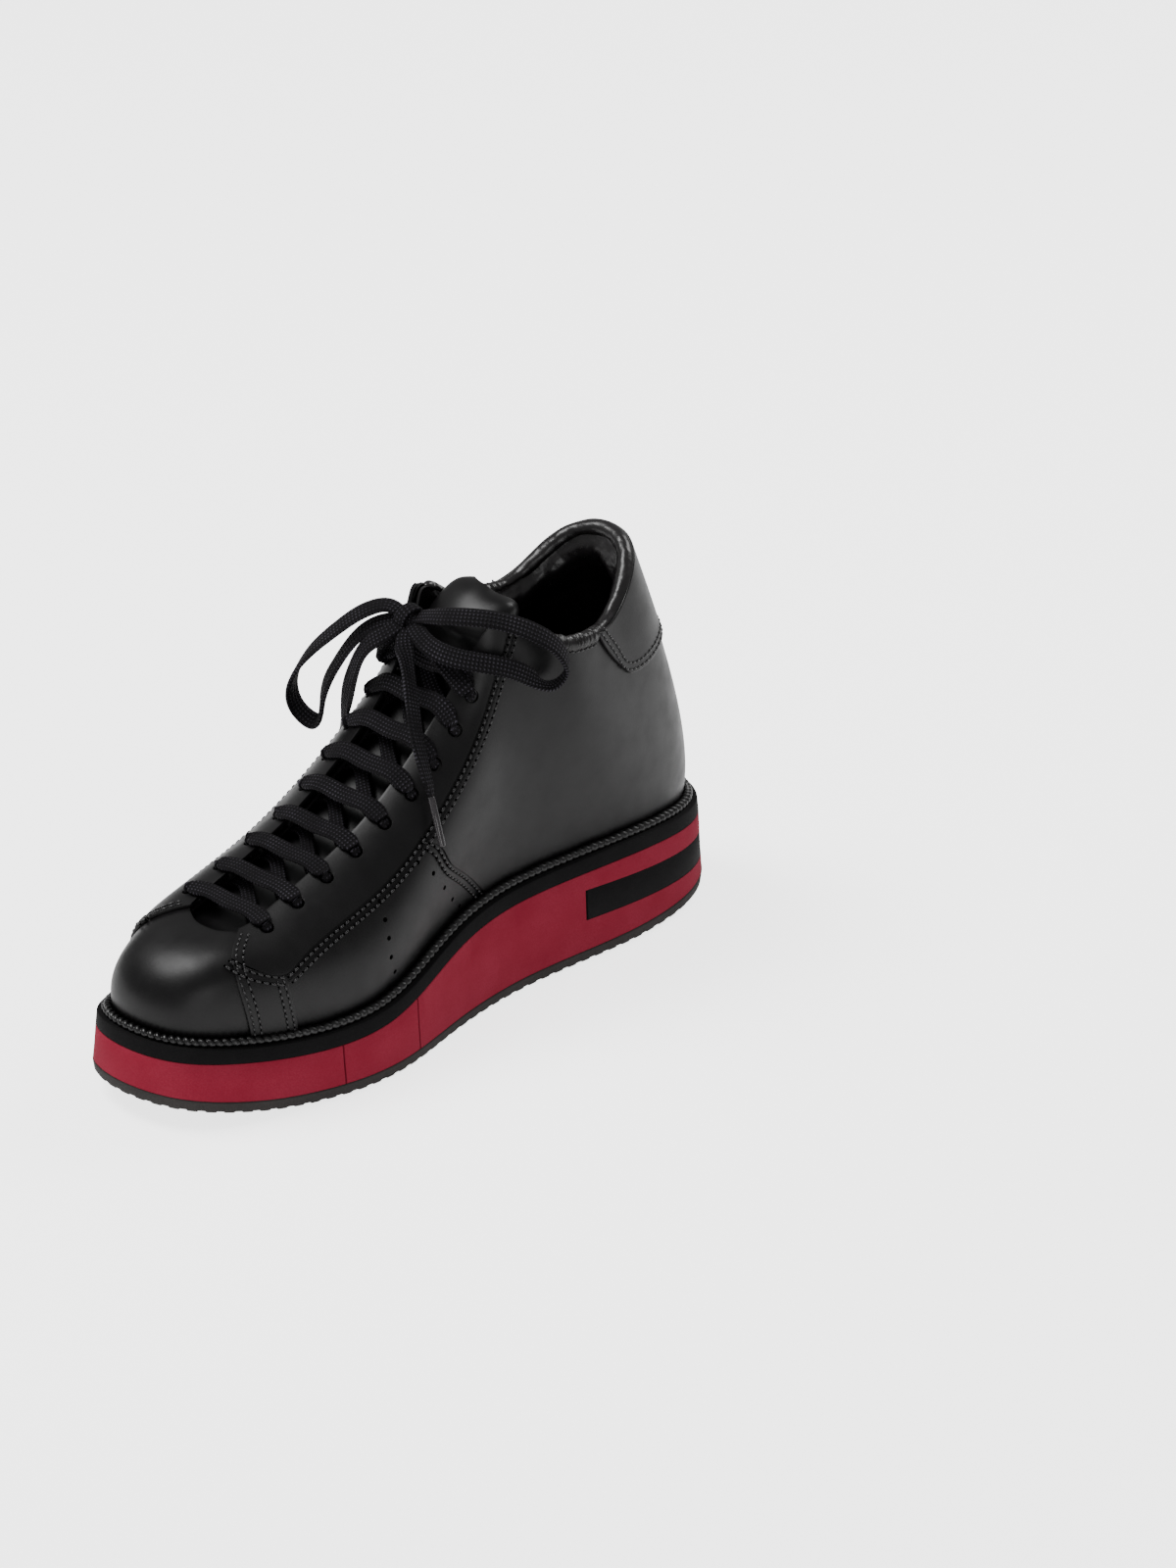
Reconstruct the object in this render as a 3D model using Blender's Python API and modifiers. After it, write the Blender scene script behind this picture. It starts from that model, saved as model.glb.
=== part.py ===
"""Leather lace-up high top on a layered platform sole, right foot.

Frame: toe towards -Y, the wearer's left (inner) side at +X, +Z up, sole on z = 0.
All driving dimensions are in millimetres; the meshes are written in metres.
"""

import bmesh
import bpy
import math
import numpy as np
from mathutils import Matrix, Vector

MM = 0.001

# ---- sole ------------------------------------------------------------------
STATION_Y = (146, 133, 105, 65, 25, -15, -55, -90, -120, -138, -146)
HALF_INNER = (0, 24.5, 35, 36, 35.5, 42, 50.5, 46.5, 37, 25, 0)
HALF_OUTER = (0, 24.5, 33, 35, 38, 44.5, 47.5, 41, 31.5, 22, 0)
TOE_TIP_X = 1.0

LEVEL_Y = (-147, -105, -55, -5, 45, 95, 147)
GROUND_Z = (9.5, 2.0, 0, 0, 0, 0.5, 3.5)
RED_BOTTOM_Z = (14.5, 7.0, 5.0, 5.0, 5.0, 5.5, 9.0)
RED_TOP_Z = (28.5, 22.5, 22.5, 34.0, 37.0, 36.0, 31.5)
GROUND_FLAT = (-66, 84)
SLIT_FRONT_Y = -78.0
SLIT_REAR_Y = -39.5
SLIT_GAP = 0.7
GAP = 0.3
FLANGE_THICK = 6.0

INLAY_START_Y = 60.0
INLAY_LOW = (17.5, 14.0)
INLAY_HIGH = (30.0, 24.5)
INLAY_DEPTH = 2.2

# ---- upper -----------------------------------------------------------------
FEATHER_INSET = 7.5
LACE_AXIS_X = 4.0
COLLAR_AXIS_X = 2.0
# u round the side (0 heel, 1 toe); top edge (half width, y, z);
# top handle (out, y, z); foot handle (out, up)
RIBS = (
    (0.000, (0, 107, 156), (0, 10, -34), (7, 22)),
    (0.050, (17, 100, 151), (6, 9, -32), (6, 24)),
    (0.105, (26, 83, 137), (5, 6, -30), (5, 27)),
    (0.170, (29, 64, 134.5), (5, 3, -32), (4, 30)),
    (0.330, (27, 40, 143.5), (8, 4, -34), (4, 32)),
    (0.420, (21, 22, 151), (10, 2, -32), (4, 34)),
    (0.500, (14.5, 8, 128), (20, 0, -14), (5, 30)),
    (0.600, (14, -31, 93), (22, 0, -8), (6, 26)),
    (0.700, (14, -66, 76), (22, -2, -5), (6, 22)),
    (0.790, (14, -96, 66), (20, -8, -2), (6, 20)),
    (0.860, (11, -102, 65), (14, -18, -1), (5, 19)),
    (0.930, (6, -104.5, 64.5), (8, -20, 0), (5, 19)),
    (1.000, (0, -105.5, 64.5), (0, -21, 0), (5, 19)),
)
COLLAR_RIB_LIMIT = 0.12

LEATHER = 1.3
OVERLAY_OFFSET = 0.5
OVERLAY = 1.1
LINING_OFFSET = -3.7
LINING = 1.5

# outer edge of the eyestay, (u, t)
EYESTAY_EDGE = (
    (0.782, 0.50), (0.755, 0.57), (0.725, 0.613), (0.653, 0.638), (0.578, 0.656),
    (0.520, 0.700), (0.452, 0.806), (0.412, 0.906), (0.392, 0.995),
)
STAY_FOOT = ((0.853, 0.715), (0.820, 0.610), (0.782, 0.500))
TAB_TOP = ((0.852, 0.690), (0.820, 0.585), (0.783, 0.475))
TAB_FRONT = ((0.837, 0.065), (0.847, 0.43), TAB_TOP[0])
TAB_REAR = ((0.777, 0.065), (0.783, 0.28), TAB_TOP[-1])
QUARTER_SEAM = ((0.443, 0.0), (0.486, 0.16), (0.533, 0.331), (0.558, 0.50), (0.580, 0.64))
HEEL_TAB_SEAM = ((0.0, 0.655), (0.072, 0.688), (0.100, 0.715), (0.122, 0.750), (0.135, 0.85), (0.152, 0.99))
EYELETS = (
    (0.773, 0.885), (0.730, 0.895), (0.690, 0.900), (0.647, 0.900), (0.607, 0.885),
    (0.575, 0.860), (0.547, 0.850), (0.518, 0.856), (0.487, 0.875),
)
EYELET_DIAMETER = 5.4
HOLES_FRONT = ((0.648, 0.575), (0.647, 0.460), (0.645, 0.345), (0.642, 0.225), (0.632, 0.110))
HOLES_REAR = ((0.590, 0.560), (0.567, 0.406), (0.540, 0.250), (0.515, 0.130), (0.495, 0.050))
HOLE_DIAMETER = 1.8

# ---- tongue ----------------------------------------------------------------
TONGUE_OFFSET = -7.2
TONGUE_THICK = 3.0
TONGUE_U = (0.800, 0.770, 0.730, 0.690, 0.647, 0.607, 0.575, 0.547, 0.518, 0.487, 0.460, 0.435)
TONGUE_TOP_STEPS = ((7, 6.5, 0.96, 0.8), (13, 9.0, 0.90, 1.6), (17, 9.5, 0.74, 2.2))
TONGUE_HINGE = (4.0, -100.0, 58.5)

# ---- lace ------------------------------------------------------------------
LACE_WIDTH = 7.4
LACE_THICK = 1.5
LACE_IN_HOLE = (3.3, 2.1)
KNOT = (-6.0, 9.0, 147.5)
KNOT_RADII = (5.4, 4.4, 5.4)
CORD_DIAMETER = 3.6
AGLET_DIAMETER = 2.6
AGLET_LENGTH = 19.0
LOOP_A = (
    (-13.8, 7.0, 150.5), (-20, 3, 149), (-30, -5, 140), (-41, -12, 126), (-46, -14, 112), (-43.5, -11, 102),
    (-38, -9.5, 100), (-34.5, -9, 110), (-29.5, -6, 126), (-21.5, 0.5, 140), (-13.8, 5.0, 145.2),
)
LOOP_B = (
    (1.8, 9.5, 150.5), (12, 9.5, 154), (23, 14.5, 155.5), (32, 23, 153.5), (38.5, 33, 147.5), (42.5, 42, 137),
    (42.5, 43.5, 127.5), (40.5, 38.5, 123), (38.8, 28.5, 129), (34.5, 16, 136), (22, 4, 139.5), (10, 3, 142),
    (1.8, 5.5, 145.0),
)
END_A = ((-2.5, 3.0, 142.0), (3.5, -2.0, 138), (16, -11, 128.5), (27.5, -18, 113), (33.5, -20, 104), (36.3, -20.8, 98.5))
END_B = ((-9.5, 1.4, 143.0), (-15, -3.0, 138.0), (-21.5, -4.8, 126), (-27.5, -3.0, 112), (-32.5, 0, 99.5))
LEAD_RISE = 7.0

SECTION_STATIONS = 40


# ---- small maths -----------------------------------------------------------
def spline(knots, values, at, closed=False):
    """Cubic spline through the knots, natural or closed."""
    x = np.asarray(knots, float)
    y = np.asarray(values, float)
    n = len(x)
    h = np.diff(x)
    system = np.zeros((n, n))
    right = np.zeros((n,) + y.shape[1:])
    for i in range(1, n - 1):
        system[i, i - 1:i + 2] = (h[i - 1], 2 * (h[i - 1] + h[i]), h[i])
        right[i] = 6 * ((y[i + 1] - y[i]) / h[i] - (y[i] - y[i - 1]) / h[i - 1])
    if closed:
        system[0, 0] = 1
        system[0, -1] = -1
        system[-1, 0] += 2 * h[0]
        system[-1, 1] += h[0]
        system[-1, -1] += 2 * h[-1]
        system[-1, -2] += h[-1]
        right[-1] = 6 * ((y[1] - y[0]) / h[0] - (y[-1] - y[-2]) / h[-1])
    else:
        system[0, 0] = 1
        system[-1, -1] = 1
    bend = np.linalg.solve(system, right.reshape(n, -1)).reshape(right.shape)
    at = np.asarray(at, float)
    i = np.clip(np.searchsorted(x, at, side="right") - 1, 0, n - 2)
    shape = at.shape + (1,) * (y.ndim - 1)
    step = h[i].reshape(shape)
    a = ((x[i + 1] - at) / h[i]).reshape(shape)
    b = 1 - a
    return a * y[i] + b * y[i + 1] + ((a ** 3 - a) * bend[i] + (b ** 3 - b) * bend[i + 1]) * step ** 2 / 6


def outline_knots():
    """Knots of the sole outline: 0 heel tip, 1 toe tip by the inner side, 2 heel again."""
    inner = [(w, y) for w, y in zip(HALF_INNER, STATION_Y)]
    inner[-1] = (TOE_TIP_X, STATION_Y[-1])
    outer = [(-w, y) for w, y in zip(HALF_OUTER, STATION_Y)][-2:0:-1]
    points = np.array(inner + outer + inner[:1], float)
    run = np.concatenate([[0], np.cumsum(np.linalg.norm(np.diff(points, axis=0), axis=1))])
    toe = len(inner) - 1
    knots = np.where(run <= run[toe], run / run[toe], 1 + (run - run[toe]) / (run[-1] - run[toe]))
    return knots, points


OUTLINE_S, OUTLINE_P = outline_knots()


def edge(s, inset=0.0):
    """Point of the outline moved inwards by inset, and the outward direction there."""
    s = np.asarray(s, float) % 2
    point = spline(OUTLINE_S, OUTLINE_P, s, True)
    ahead = spline(OUTLINE_S, OUTLINE_P, (s + 1e-3) % 2, True)
    behind = spline(OUTLINE_S, OUTLINE_P, (s - 1e-3) % 2, True)
    along = ahead - behind
    along = along / np.linalg.norm(along, axis=-1, keepdims=True)
    out = np.stack([-along[..., 1], along[..., 0]], -1)
    inset = np.asarray(inset, float)
    if inset.ndim:
        inset = inset[..., None]
    return point - out * inset, out


def level(table, y):
    """Height table read at y."""
    return spline(LEVEL_Y, table, np.clip(y, -147, 147))


def ground(y):
    """Underside of the outsole: flat on the floor between the two rises."""
    y = np.asarray(y, float)
    lift = level(GROUND_Z, y)
    low, high = GROUND_FLAT
    ramp = np.clip(np.maximum((low - y) / 12.0, (y - high) / 12.0), 0, 1)
    return np.maximum(lift, 0) * ramp


def flange_top(y):
    """Top of the black flange, which carries the upper."""
    return level(RED_TOP_Z, y) + FLANGE_THICK


def rib_tables():
    """The rib table carried round both sides of the shoe."""
    keys = [r[0] for r in RIBS]
    keys = keys + [2 - k for k in keys[-2::-1]]
    rows = []
    for j, rib in enumerate(RIBS + RIBS[-2::-1]):
        side = 1 if j < len(RIBS) else -1
        centre = COLLAR_AXIS_X if rib[0] < COLLAR_RIB_LIMIT else LACE_AXIS_X
        top, handle, foot = rib[1:]
        rows.append((centre + side * top[0], top[1], top[2], side * handle[0], handle[1], handle[2], *foot))
    return np.array(keys), np.array(rows, float)


RIB_S, RIB_ROWS = rib_tables()


def shell(s, t, offset=0.0):
    """Surface of the upper: s round the shoe, t from the welt (0) to the top edge (1)."""
    s, t = np.broadcast_arrays(np.asarray(s, float), np.asarray(t, float))
    here = shell_point(s, t)
    if np.all(np.asarray(offset) == 0):
        return here
    normal = shell_normal(s, t)
    return here + normal * np.asarray(offset, float)[..., None] if np.ndim(offset) else here + normal * offset


def shell_point(s, t):
    s = s % 2
    foot, out = edge(s, FEATHER_INSET)
    base = np.concatenate([foot, (flange_top(foot[..., 1]) + 0.35)[..., None]], -1)
    row = spline(RIB_S, RIB_ROWS, s, True)
    top = row[..., 0:3]
    low = base + np.concatenate([out * row[..., 6:7], row[..., 7:8]], -1)
    high = top + row[..., 3:6]
    t = t[..., None]
    return (1 - t) ** 3 * base + 3 * (1 - t) ** 2 * t * low + 3 * (1 - t) * t ** 2 * high + t ** 3 * top


def shell_normal(s, t):
    ds = 2e-3
    dt = 4e-3
    along = shell_point(s + ds, t) - shell_point(s - ds, t)
    up = shell_point(s, np.minimum(t + dt, 1.0)) - shell_point(s, np.maximum(t - dt, 0.0))
    normal = np.cross(up, along)
    return normal / np.linalg.norm(normal, axis=-1, keepdims=True)


def polyline(points, n):
    """n points spread evenly along a smooth curve through the given points."""
    p = np.asarray(points, float)
    run = np.concatenate([[0], np.cumsum(np.linalg.norm(np.diff(p, axis=0), axis=1))])
    fine = spline(run, p, np.linspace(0, run[-1], 400)) if len(p) > 2 else np.linspace(p[0], p[1], 400)
    length = np.concatenate([[0], np.cumsum(np.linalg.norm(np.diff(fine, axis=0), axis=1))])
    at = np.linspace(0, length[-1], n)
    return np.stack([np.interp(at, length, fine[:, k]) for k in range(p.shape[1])], -1)


# ---- scene helpers ---------------------------------------------------------
def clear_scene():
    for item in list(bpy.data.objects):
        bpy.data.objects.remove(item, do_unlink=True)
    for group in list(bpy.data.collections):
        bpy.data.collections.remove(group)


def make_collection(name):
    group = bpy.data.collections.new(name)
    bpy.context.scene.collection.children.link(group)
    return group


def material(name, colour, roughness, metallic=0.0):
    mat = bpy.data.materials.get(name)
    if mat is None:
        mat = bpy.data.materials.new(name)
        mat.use_nodes = True
        shader = mat.node_tree.nodes["Principled BSDF"]
        shader.inputs["Base Color"].default_value = (*colour, 1.0)
        shader.inputs["Roughness"].default_value = roughness
        shader.inputs["Metallic"].default_value = metallic
    return mat


def add_object(group, name, verts, faces, mat):
    """Object from a vertex list in millimetres, normals made consistent."""
    mesh = bpy.data.meshes.new(name)
    mesh.from_pydata([tuple(float(c) * MM for c in v) for v in verts], [], [tuple(map(int, f)) for f in faces])
    mesh.update()
    obj = bpy.data.objects.new(name, mesh)
    group.objects.link(obj)
    mesh.materials.append(mat)
    return obj


def outward(obj):
    work = bmesh.new()
    work.from_mesh(obj.data)
    bmesh.ops.recalc_face_normals(work, faces=work.faces)
    work.to_mesh(obj.data)
    work.free()
    return obj


def ring_tube(group, name, rings, mat, closed):
    """Body lofted through equal rings, capped when it is not closed on itself."""
    rings = np.asarray(rings, float)
    n, m = rings.shape[:2]
    faces = []
    for i in range(n if closed else n - 1):
        a = i * m
        b = ((i + 1) % n) * m
        for k in range(m):
            faces.append((a + k, a + (k + 1) % m, b + (k + 1) % m, b + k))
    if not closed:
        faces.append(tuple(range(m))[::-1])
        faces.append(tuple((n - 1) * m + k for k in range(m)))
    return outward(add_object(group, name, rings.reshape(-1, 3), faces, mat))


def cut(obj, cutters):
    """Exact Boolean difference, kept as live modifiers."""
    for k, cutter in enumerate(cutters):
        mod = obj.modifiers.new(f"cut_{k}", "BOOLEAN")
        mod.operation = "DIFFERENCE"
        mod.solver = "EXACT"
        mod.object = cutter
    return obj


def hide_cutter(obj):
    obj.hide_render = True
    obj.display_type = "WIRE"
    return obj


# ---- sole parts ------------------------------------------------------------
def half_widths(y, inset):
    """Half widths of the outline at y, moved in by inset."""
    fine = np.linspace(0.0, 2.0, 1601)
    points = edge(fine, inset)[0]
    inner = points[:801]
    outer = points[800:]
    order = np.argsort(inner[:, 1])
    right = np.interp(y, inner[order, 1], inner[order, 0])
    order = np.argsort(outer[:, 1])
    left = np.interp(y, outer[order, 1], outer[order, 0])
    return left, right


def slab(group, name, y_low, y_high, bottom, top, inset_low, inset_high, mat, stations=SECTION_STATIONS):
    """Sole layer between two height functions, from y_low to y_high."""
    tips = edge(np.array([0.0, 1.0]), max(inset_low, inset_high))[0][:, 1]
    start = max(y_low, tips[1] + 0.25)
    end = min(y_high, tips[0] - 0.25)
    round_toe = start > y_low
    round_heel = end < y_high
    q = np.linspace(0, 1, stations)
    if round_toe and round_heel:
        q = 0.5 - 0.5 * np.cos(math.pi * q)
    elif round_toe:
        q = 1 - np.cos(0.5 * math.pi * q)
    elif round_heel:
        q = np.sin(0.5 * math.pi * q)
    y = start + (end - start) * q
    rings = []
    for inset, height in ((inset_low, bottom), (inset_high, top)):
        left, right = half_widths(y, inset)
        z = height(y)
        rings.append(np.stack([left, y, z], -1))
        rings.append(np.stack([right, y, z], -1))
    low_left, low_right, top_left, top_right = rings
    loops = np.stack([low_left, low_right, top_right, top_left], 1)
    return ring_tube(group, name, loops, mat, False)


def band(group, name, s_values, section, mat, closed=False):
    """Band following the outline: section(s, y) gives (inset, z) corners."""
    base = edge(s_values)[0]
    rings = []
    for s, y in zip(s_values, base[:, 1]):
        corners = section(s, y)
        ring = []
        for k, (inset, _) in enumerate(corners):
            point = edge(np.array([s]), inset)[0][0]
            ring.append((point[0], point[1], section(s, point[1])[k][1]))
        rings.append(ring)
    return ring_tube(group, name, rings, mat, closed)


def inlay_levels(y, grow):
    f = np.clip((y - INLAY_START_Y) / (STATION_Y[0] - INLAY_START_Y), 0, 1)
    low = INLAY_LOW[0] + (INLAY_LOW[1] - INLAY_LOW[0]) * f - grow
    high = INLAY_HIGH[0] + (INLAY_HIGH[1] - INLAY_HIGH[0]) * f + grow
    return low, high


def build_sole(group, cutters):
    rubber = material("rubber_dark_grey", (0.06, 0.06, 0.06), 0.75)
    foam = material("foam_red", (0.24, 0.025, 0.035), 0.6)
    black = material("foam_black", (0.012, 0.012, 0.013), 0.7)
    welt = material("leather_welt", (0.015, 0.015, 0.015), 0.5)
    board = material("board_brown", (0.25, 0.17, 0.10), 0.9)
    liner = material("leather_sock", (0.03, 0.03, 0.03), 0.8)
    far = 400.0

    slab(group, "outsole", -far, far, ground, lambda y: level(RED_BOTTOM_Z, y) - GAP, 1.2, -0.6, rubber, 46)
    red_low = lambda y: level(RED_BOTTOM_Z, y)
    red_top = lambda y: level(RED_TOP_Z, y)
    half = SLIT_GAP / 2
    slab(group, "midsole_toe_block", -far, SLIT_FRONT_Y - half, red_low, red_top, -0.6, 0.7, foam, 24)
    slab(group, "midsole_ball_block", SLIT_FRONT_Y + half, SLIT_REAR_Y - half, red_low, red_top,
         -0.6, 0.7, foam, 10)
    wedge = slab(group, "midsole_heel_wedge", SLIT_REAR_Y + half, far, red_low, red_top, -0.6, 0.7, foam, 44)

    inner = np.linspace(0, 1, 2001)
    ys = edge(inner)[0][:, 1]
    s_start = float(np.interp(-INLAY_START_Y, -ys, inner))
    run = np.linspace(-s_start, s_start, 29)
    grown = np.linspace(-s_start - 0.0012, s_start + 0.0012, 29)

    def groove(s, y):
        low, high = inlay_levels(y, GAP)
        return ((-6.0, low), (-6.0, high), (INLAY_DEPTH + GAP, high), (INLAY_DEPTH + GAP, low))

    def strip(s, y):
        low, high = inlay_levels(y, 0.0)
        return ((-0.1, low), (0.45, high), (INLAY_DEPTH, high), (INLAY_DEPTH, low))

    tool = hide_cutter(band(cutters, "tool_heel_groove", grown, groove, foam))
    cut(wedge, [tool])
    band(group, "heel_inlay", run, strip, black)

    slab(group, "midsole_top_layer", -far, far, lambda y: red_top(y) + GAP, flange_top, 0.8, 1.6, black, 46)

    def rib(s, y):
        z = float(flange_top(y)) + GAP
        return ((3.4, z), (3.5, z + 1.7), (4.7, z + 2.7), (6.0, z + 2.3), (6.9, z + 0.8), (6.9, z))

    around = np.linspace(0, 2, 73)[:-1]
    band(group, "welt", around, rib, welt, True)
    slab(group, "insole_board", -far, far, lambda y: flange_top(y) + GAP, lambda y: flange_top(y) + 2.3,
         11.6, 11.6, board, 30)
    slab(group, "sockliner", -far, far, lambda y: flange_top(y) + 2.6, lambda y: flange_top(y) + 5.6,
         12.2, 12.0, liner, 30)


# ---- upper panels ----------------------------------------------------------
def coons(foot, top, front, rear, na, nb):
    """Grid of (u, t) between four edges: foot and top run front to rear, sides run upwards."""
    a = np.linspace(0, 1, na)
    b = np.linspace(0, 1, nb)
    low = polyline(foot, na)
    high = polyline(top, na)
    left = polyline(front, nb)
    right = polyline(rear, nb)
    grid = np.zeros((na, nb, 2))
    for i in range(na):
        for j in range(nb):
            p = a[i]
            q = b[j]
            ruled = (1 - q) * low[i] + q * high[i] + (1 - p) * left[j] + p * right[j]
            corner = (1 - p) * (1 - q) * low[0] + p * (1 - q) * low[-1] + (1 - p) * q * high[0] + p * q * high[-1]
            grid[i, j] = ruled - corner
    return grid


def panel(group, name, grid, side, offset, thickness, mat):
    """Leather panel over a (u, t) grid, thickened outwards from the given offset."""
    s = grid[..., 0] if side > 0 else 2 - grid[..., 0]
    points = shell(s % 2, np.clip(grid[..., 1], 0, 1), offset)
    na, nb = points.shape[:2]
    faces = []
    for i in range(na - 1):
        for j in range(nb - 1):
            quad = (i * nb + j, (i + 1) * nb + j, (i + 1) * nb + j + 1, i * nb + j + 1)
            faces.append(quad if side > 0 else quad[::-1])
    obj = add_object(group, name, points.reshape(-1, 3), faces, mat)
    mid_s = float(s[na // 2, nb // 2]) % 2
    mid_t = float(np.clip(grid[na // 2, nb // 2, 1], 0.02, 0.98))
    want = Vector(shell_normal(np.array(mid_s), np.array(mid_t)))
    near = min(obj.data.polygons, key=lambda f: (f.center - Vector(points[na // 2, nb // 2] * MM)).length)
    if near.normal.dot(want) < 0:
        obj.data.flip_normals()
    thick = obj.modifiers.new("thickness", "SOLIDIFY")
    thick.thickness = thickness * MM
    thick.offset = 1.0
    return obj


def punch(cutters, name, spots, side, diameter, reach, segments):
    """One cutting tool made of pins standing square to the shell at the given spots."""
    verts = []
    faces = []
    for u, t in spots:
        s = np.array(u if side > 0 else 2 - u)
        centre = Vector(shell(s, np.array(t)))
        axis = Vector(shell_normal(s, np.array(t)))
        across = axis.orthogonal().normalized()
        other = axis.cross(across)
        base = len(verts)
        for end in (-reach, reach):
            for k in range(segments):
                angle = 2 * math.pi * k / segments
                verts.append(centre + axis * end + (across * math.cos(angle) + other * math.sin(angle)) * diameter / 2)
        for k in range(segments):
            n = (k + 1) % segments
            faces.append((base + k, base + n, base + segments + n, base + segments + k))
        faces.append(tuple(base + k for k in range(segments))[::-1])
        faces.append(tuple(base + segments + k for k in range(segments)))
    return hide_cutter(outward(add_object(cutters, name, verts, faces, material("tool", (1, 0, 0), 0.5))))


def build_upper(group, cutters):
    smooth = material("leather_black", (0.020, 0.020, 0.021), 0.38)
    lining = material("leather_lining", (0.014, 0.014, 0.014), 0.5)

    vamp_side = [(0.830, 0.0), (0.840, 0.43), (0.846, 0.70), (0.836, 0.85), (0.8225, 0.995)]
    vamp_far = [(2 - u, t) for u, t in vamp_side]
    foot = [(0.830, 0.0), (1.0, 0.0), (1.170, 0.0)]
    top = [(0.8225, 0.995), (1.0, 0.995), (1.1775, 0.995)]
    panel(group, "vamp", coons(foot, top, vamp_side, vamp_far, 21, 10), 1, -LEATHER, LEATHER, smooth)

    for side, tag in ((1, "L"), (-1, "R")):
        stay = coons([*STAY_FOOT, *EYESTAY_EDGE[1:-1]], [(0.823, 0.997), (0.60, 0.997), (0.400, 0.997)],
                     [STAY_FOOT[0], (0.845, 0.85), (0.823, 0.997)], [(0.412, 0.906), (0.400, 0.997)], 30, 4)
        stay_obj = panel(group, f"eyestay_{tag}", stay, side, OVERLAY_OFFSET, OVERLAY, smooth)
        tool = punch(cutters, f"tool_eyelets_{tag}", EYELETS, side, EYELET_DIAMETER, 9.0, 8)
        cut(stay_obj, [tool])

        panel(group, f"side_tab_{tag}", coons([TAB_FRONT[0], TAB_REAR[0]], TAB_TOP, TAB_FRONT, TAB_REAR, 4, 7), side,
              OVERLAY_OFFSET, OVERLAY, smooth)

        front_foot = [(0.824, 0.0), (0.63, 0.0), (0.4455, 0.0)]
        front_top = [(0.824, 0.57), (0.770, 0.60), (0.725, 0.68), (0.653, 0.70), (0.5875, 0.72)]
        seam = [(u + 0.0025, t) for u, t in QUARTER_SEAM] + [(0.5875, 0.72)]
        quarter = panel(group, f"front_quarter_{tag}",
                        coons(front_foot, front_top, [(0.824, 0.0), (0.824, 0.57)], seam, 13, 7),
                        side, -LEATHER, LEATHER, smooth)
        pins = punch(cutters, f"tool_holes_{tag}", HOLES_FRONT + HOLES_REAR, side, HOLE_DIAMETER, 5.0, 6)
        cut(quarter, [pins])

        rear_foot = [(0.4405, 0.0), (0.2, 0.0), (0.0035, 0.0)]
        rear_top = [(0.5815, 0.72), (0.520, 0.765), (0.447, 0.87), (0.405, 0.985), (0.33, 0.995), (0.22, 0.995),
                    (0.146, 0.990), (0.129, 0.86), (0.112, 0.78), (0.072, 0.725), (0.0035, 0.69)]
        seam = [(u - 0.0015, t) for u, t in QUARTER_SEAM] + [(0.5815, 0.72)]
        panel(group, f"rear_quarter_{tag}",
              coons(rear_foot, rear_top, seam, [(0.0035, 0.0), (0.0035, 0.69)], 23, 9),
              side, -LEATHER, LEATHER, smooth)

        lining_foot = [(0.813, 0.0), (0.4, 0.0), (0.002, 0.0)]
        lining_top = [(0.813, 0.993), (0.4, 0.993), (0.002, 0.993)]
        liner = panel(group, f"lining_{tag}",
                      coons(lining_foot, lining_top, [(0.813, 0.0), (0.813, 0.993)],
                            [(0.002, 0.0), (0.002, 0.993)], 25, 7),
                      side, LINING_OFFSET, LINING, lining)
        cut(liner, [tool])

    toe_foot = [(0.816, 0.0), (1.0, 0.0), (1.184, 0.0)]
    toe_top = [(0.816, 0.993), (1.0, 0.993), (1.184, 0.993)]
    panel(group, "vamp_lining",
          coons(toe_foot, toe_top, [(0.816, 0.0), (0.816, 0.993)], [(1.184, 0.0), (1.184, 0.993)], 15, 7),
          1, LINING_OFFSET, LINING, lining)

    panel(group, "heel_tab",
          coons([(0.122, 0.750), (0.100, 0.715), (0.072, 0.688), (0.0, 0.655),
                 (-0.072, 0.688), (-0.100, 0.715), (-0.122, 0.750)],
                [(0.152, 0.995), (0.0, 0.995), (-0.152, 0.995)],
                [(0.122, 0.750), (0.135, 0.85), (0.152, 0.995)],
                [(-0.122, 0.750), (-0.135, 0.85), (-0.152, 0.995)], 17, 7),
          1, OVERLAY_OFFSET, OVERLAY, smooth)
    panel(group, "back_stay",
          coons([(0.016, 0.05), (-0.016, 0.05)], [(0.018, 0.645), (-0.018, 0.645)],
                [(0.016, 0.05), (0.018, 0.645)], [(-0.016, 0.05), (-0.018, 0.645)], 4, 12),
          1, OVERLAY_OFFSET, OVERLAY, smooth)


def build_collar(group):
    """Soft roll inside the mouth, from one eyestay round the heel to the other."""
    padding = material("leather_lining", (0.014, 0.014, 0.014), 0.5)
    run = np.linspace(-0.345, 0.345, 41)
    centre = shell(run % 2, np.full_like(run, 0.945), LINING_OFFSET - 4.6)
    rings = []
    for i, s in enumerate(run):
        across = shell_normal(np.array(s % 2), np.array(0.945))
        a = centre[max(i - 1, 0)]
        b = centre[min(i + 1, len(run) - 1)]
        along = (b - a) / np.linalg.norm(b - a)
        up = np.cross(along, across)
        up = up / np.linalg.norm(up)
        ends = min(1.0, 0.35 + 0.65 * math.sin(math.pi * (i + 0.6) / 41.2) * 4)
        ring = []
        for k in range(8):
            angle = 2 * math.pi * k / 8
            ring.append(centre[i] + (across * math.cos(angle) * 3.2 + up * math.sin(angle) * 6.0) * min(1, ends))
        rings.append(ring)
    ring_tube(group, "collar_pad", rings, padding, False)


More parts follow.
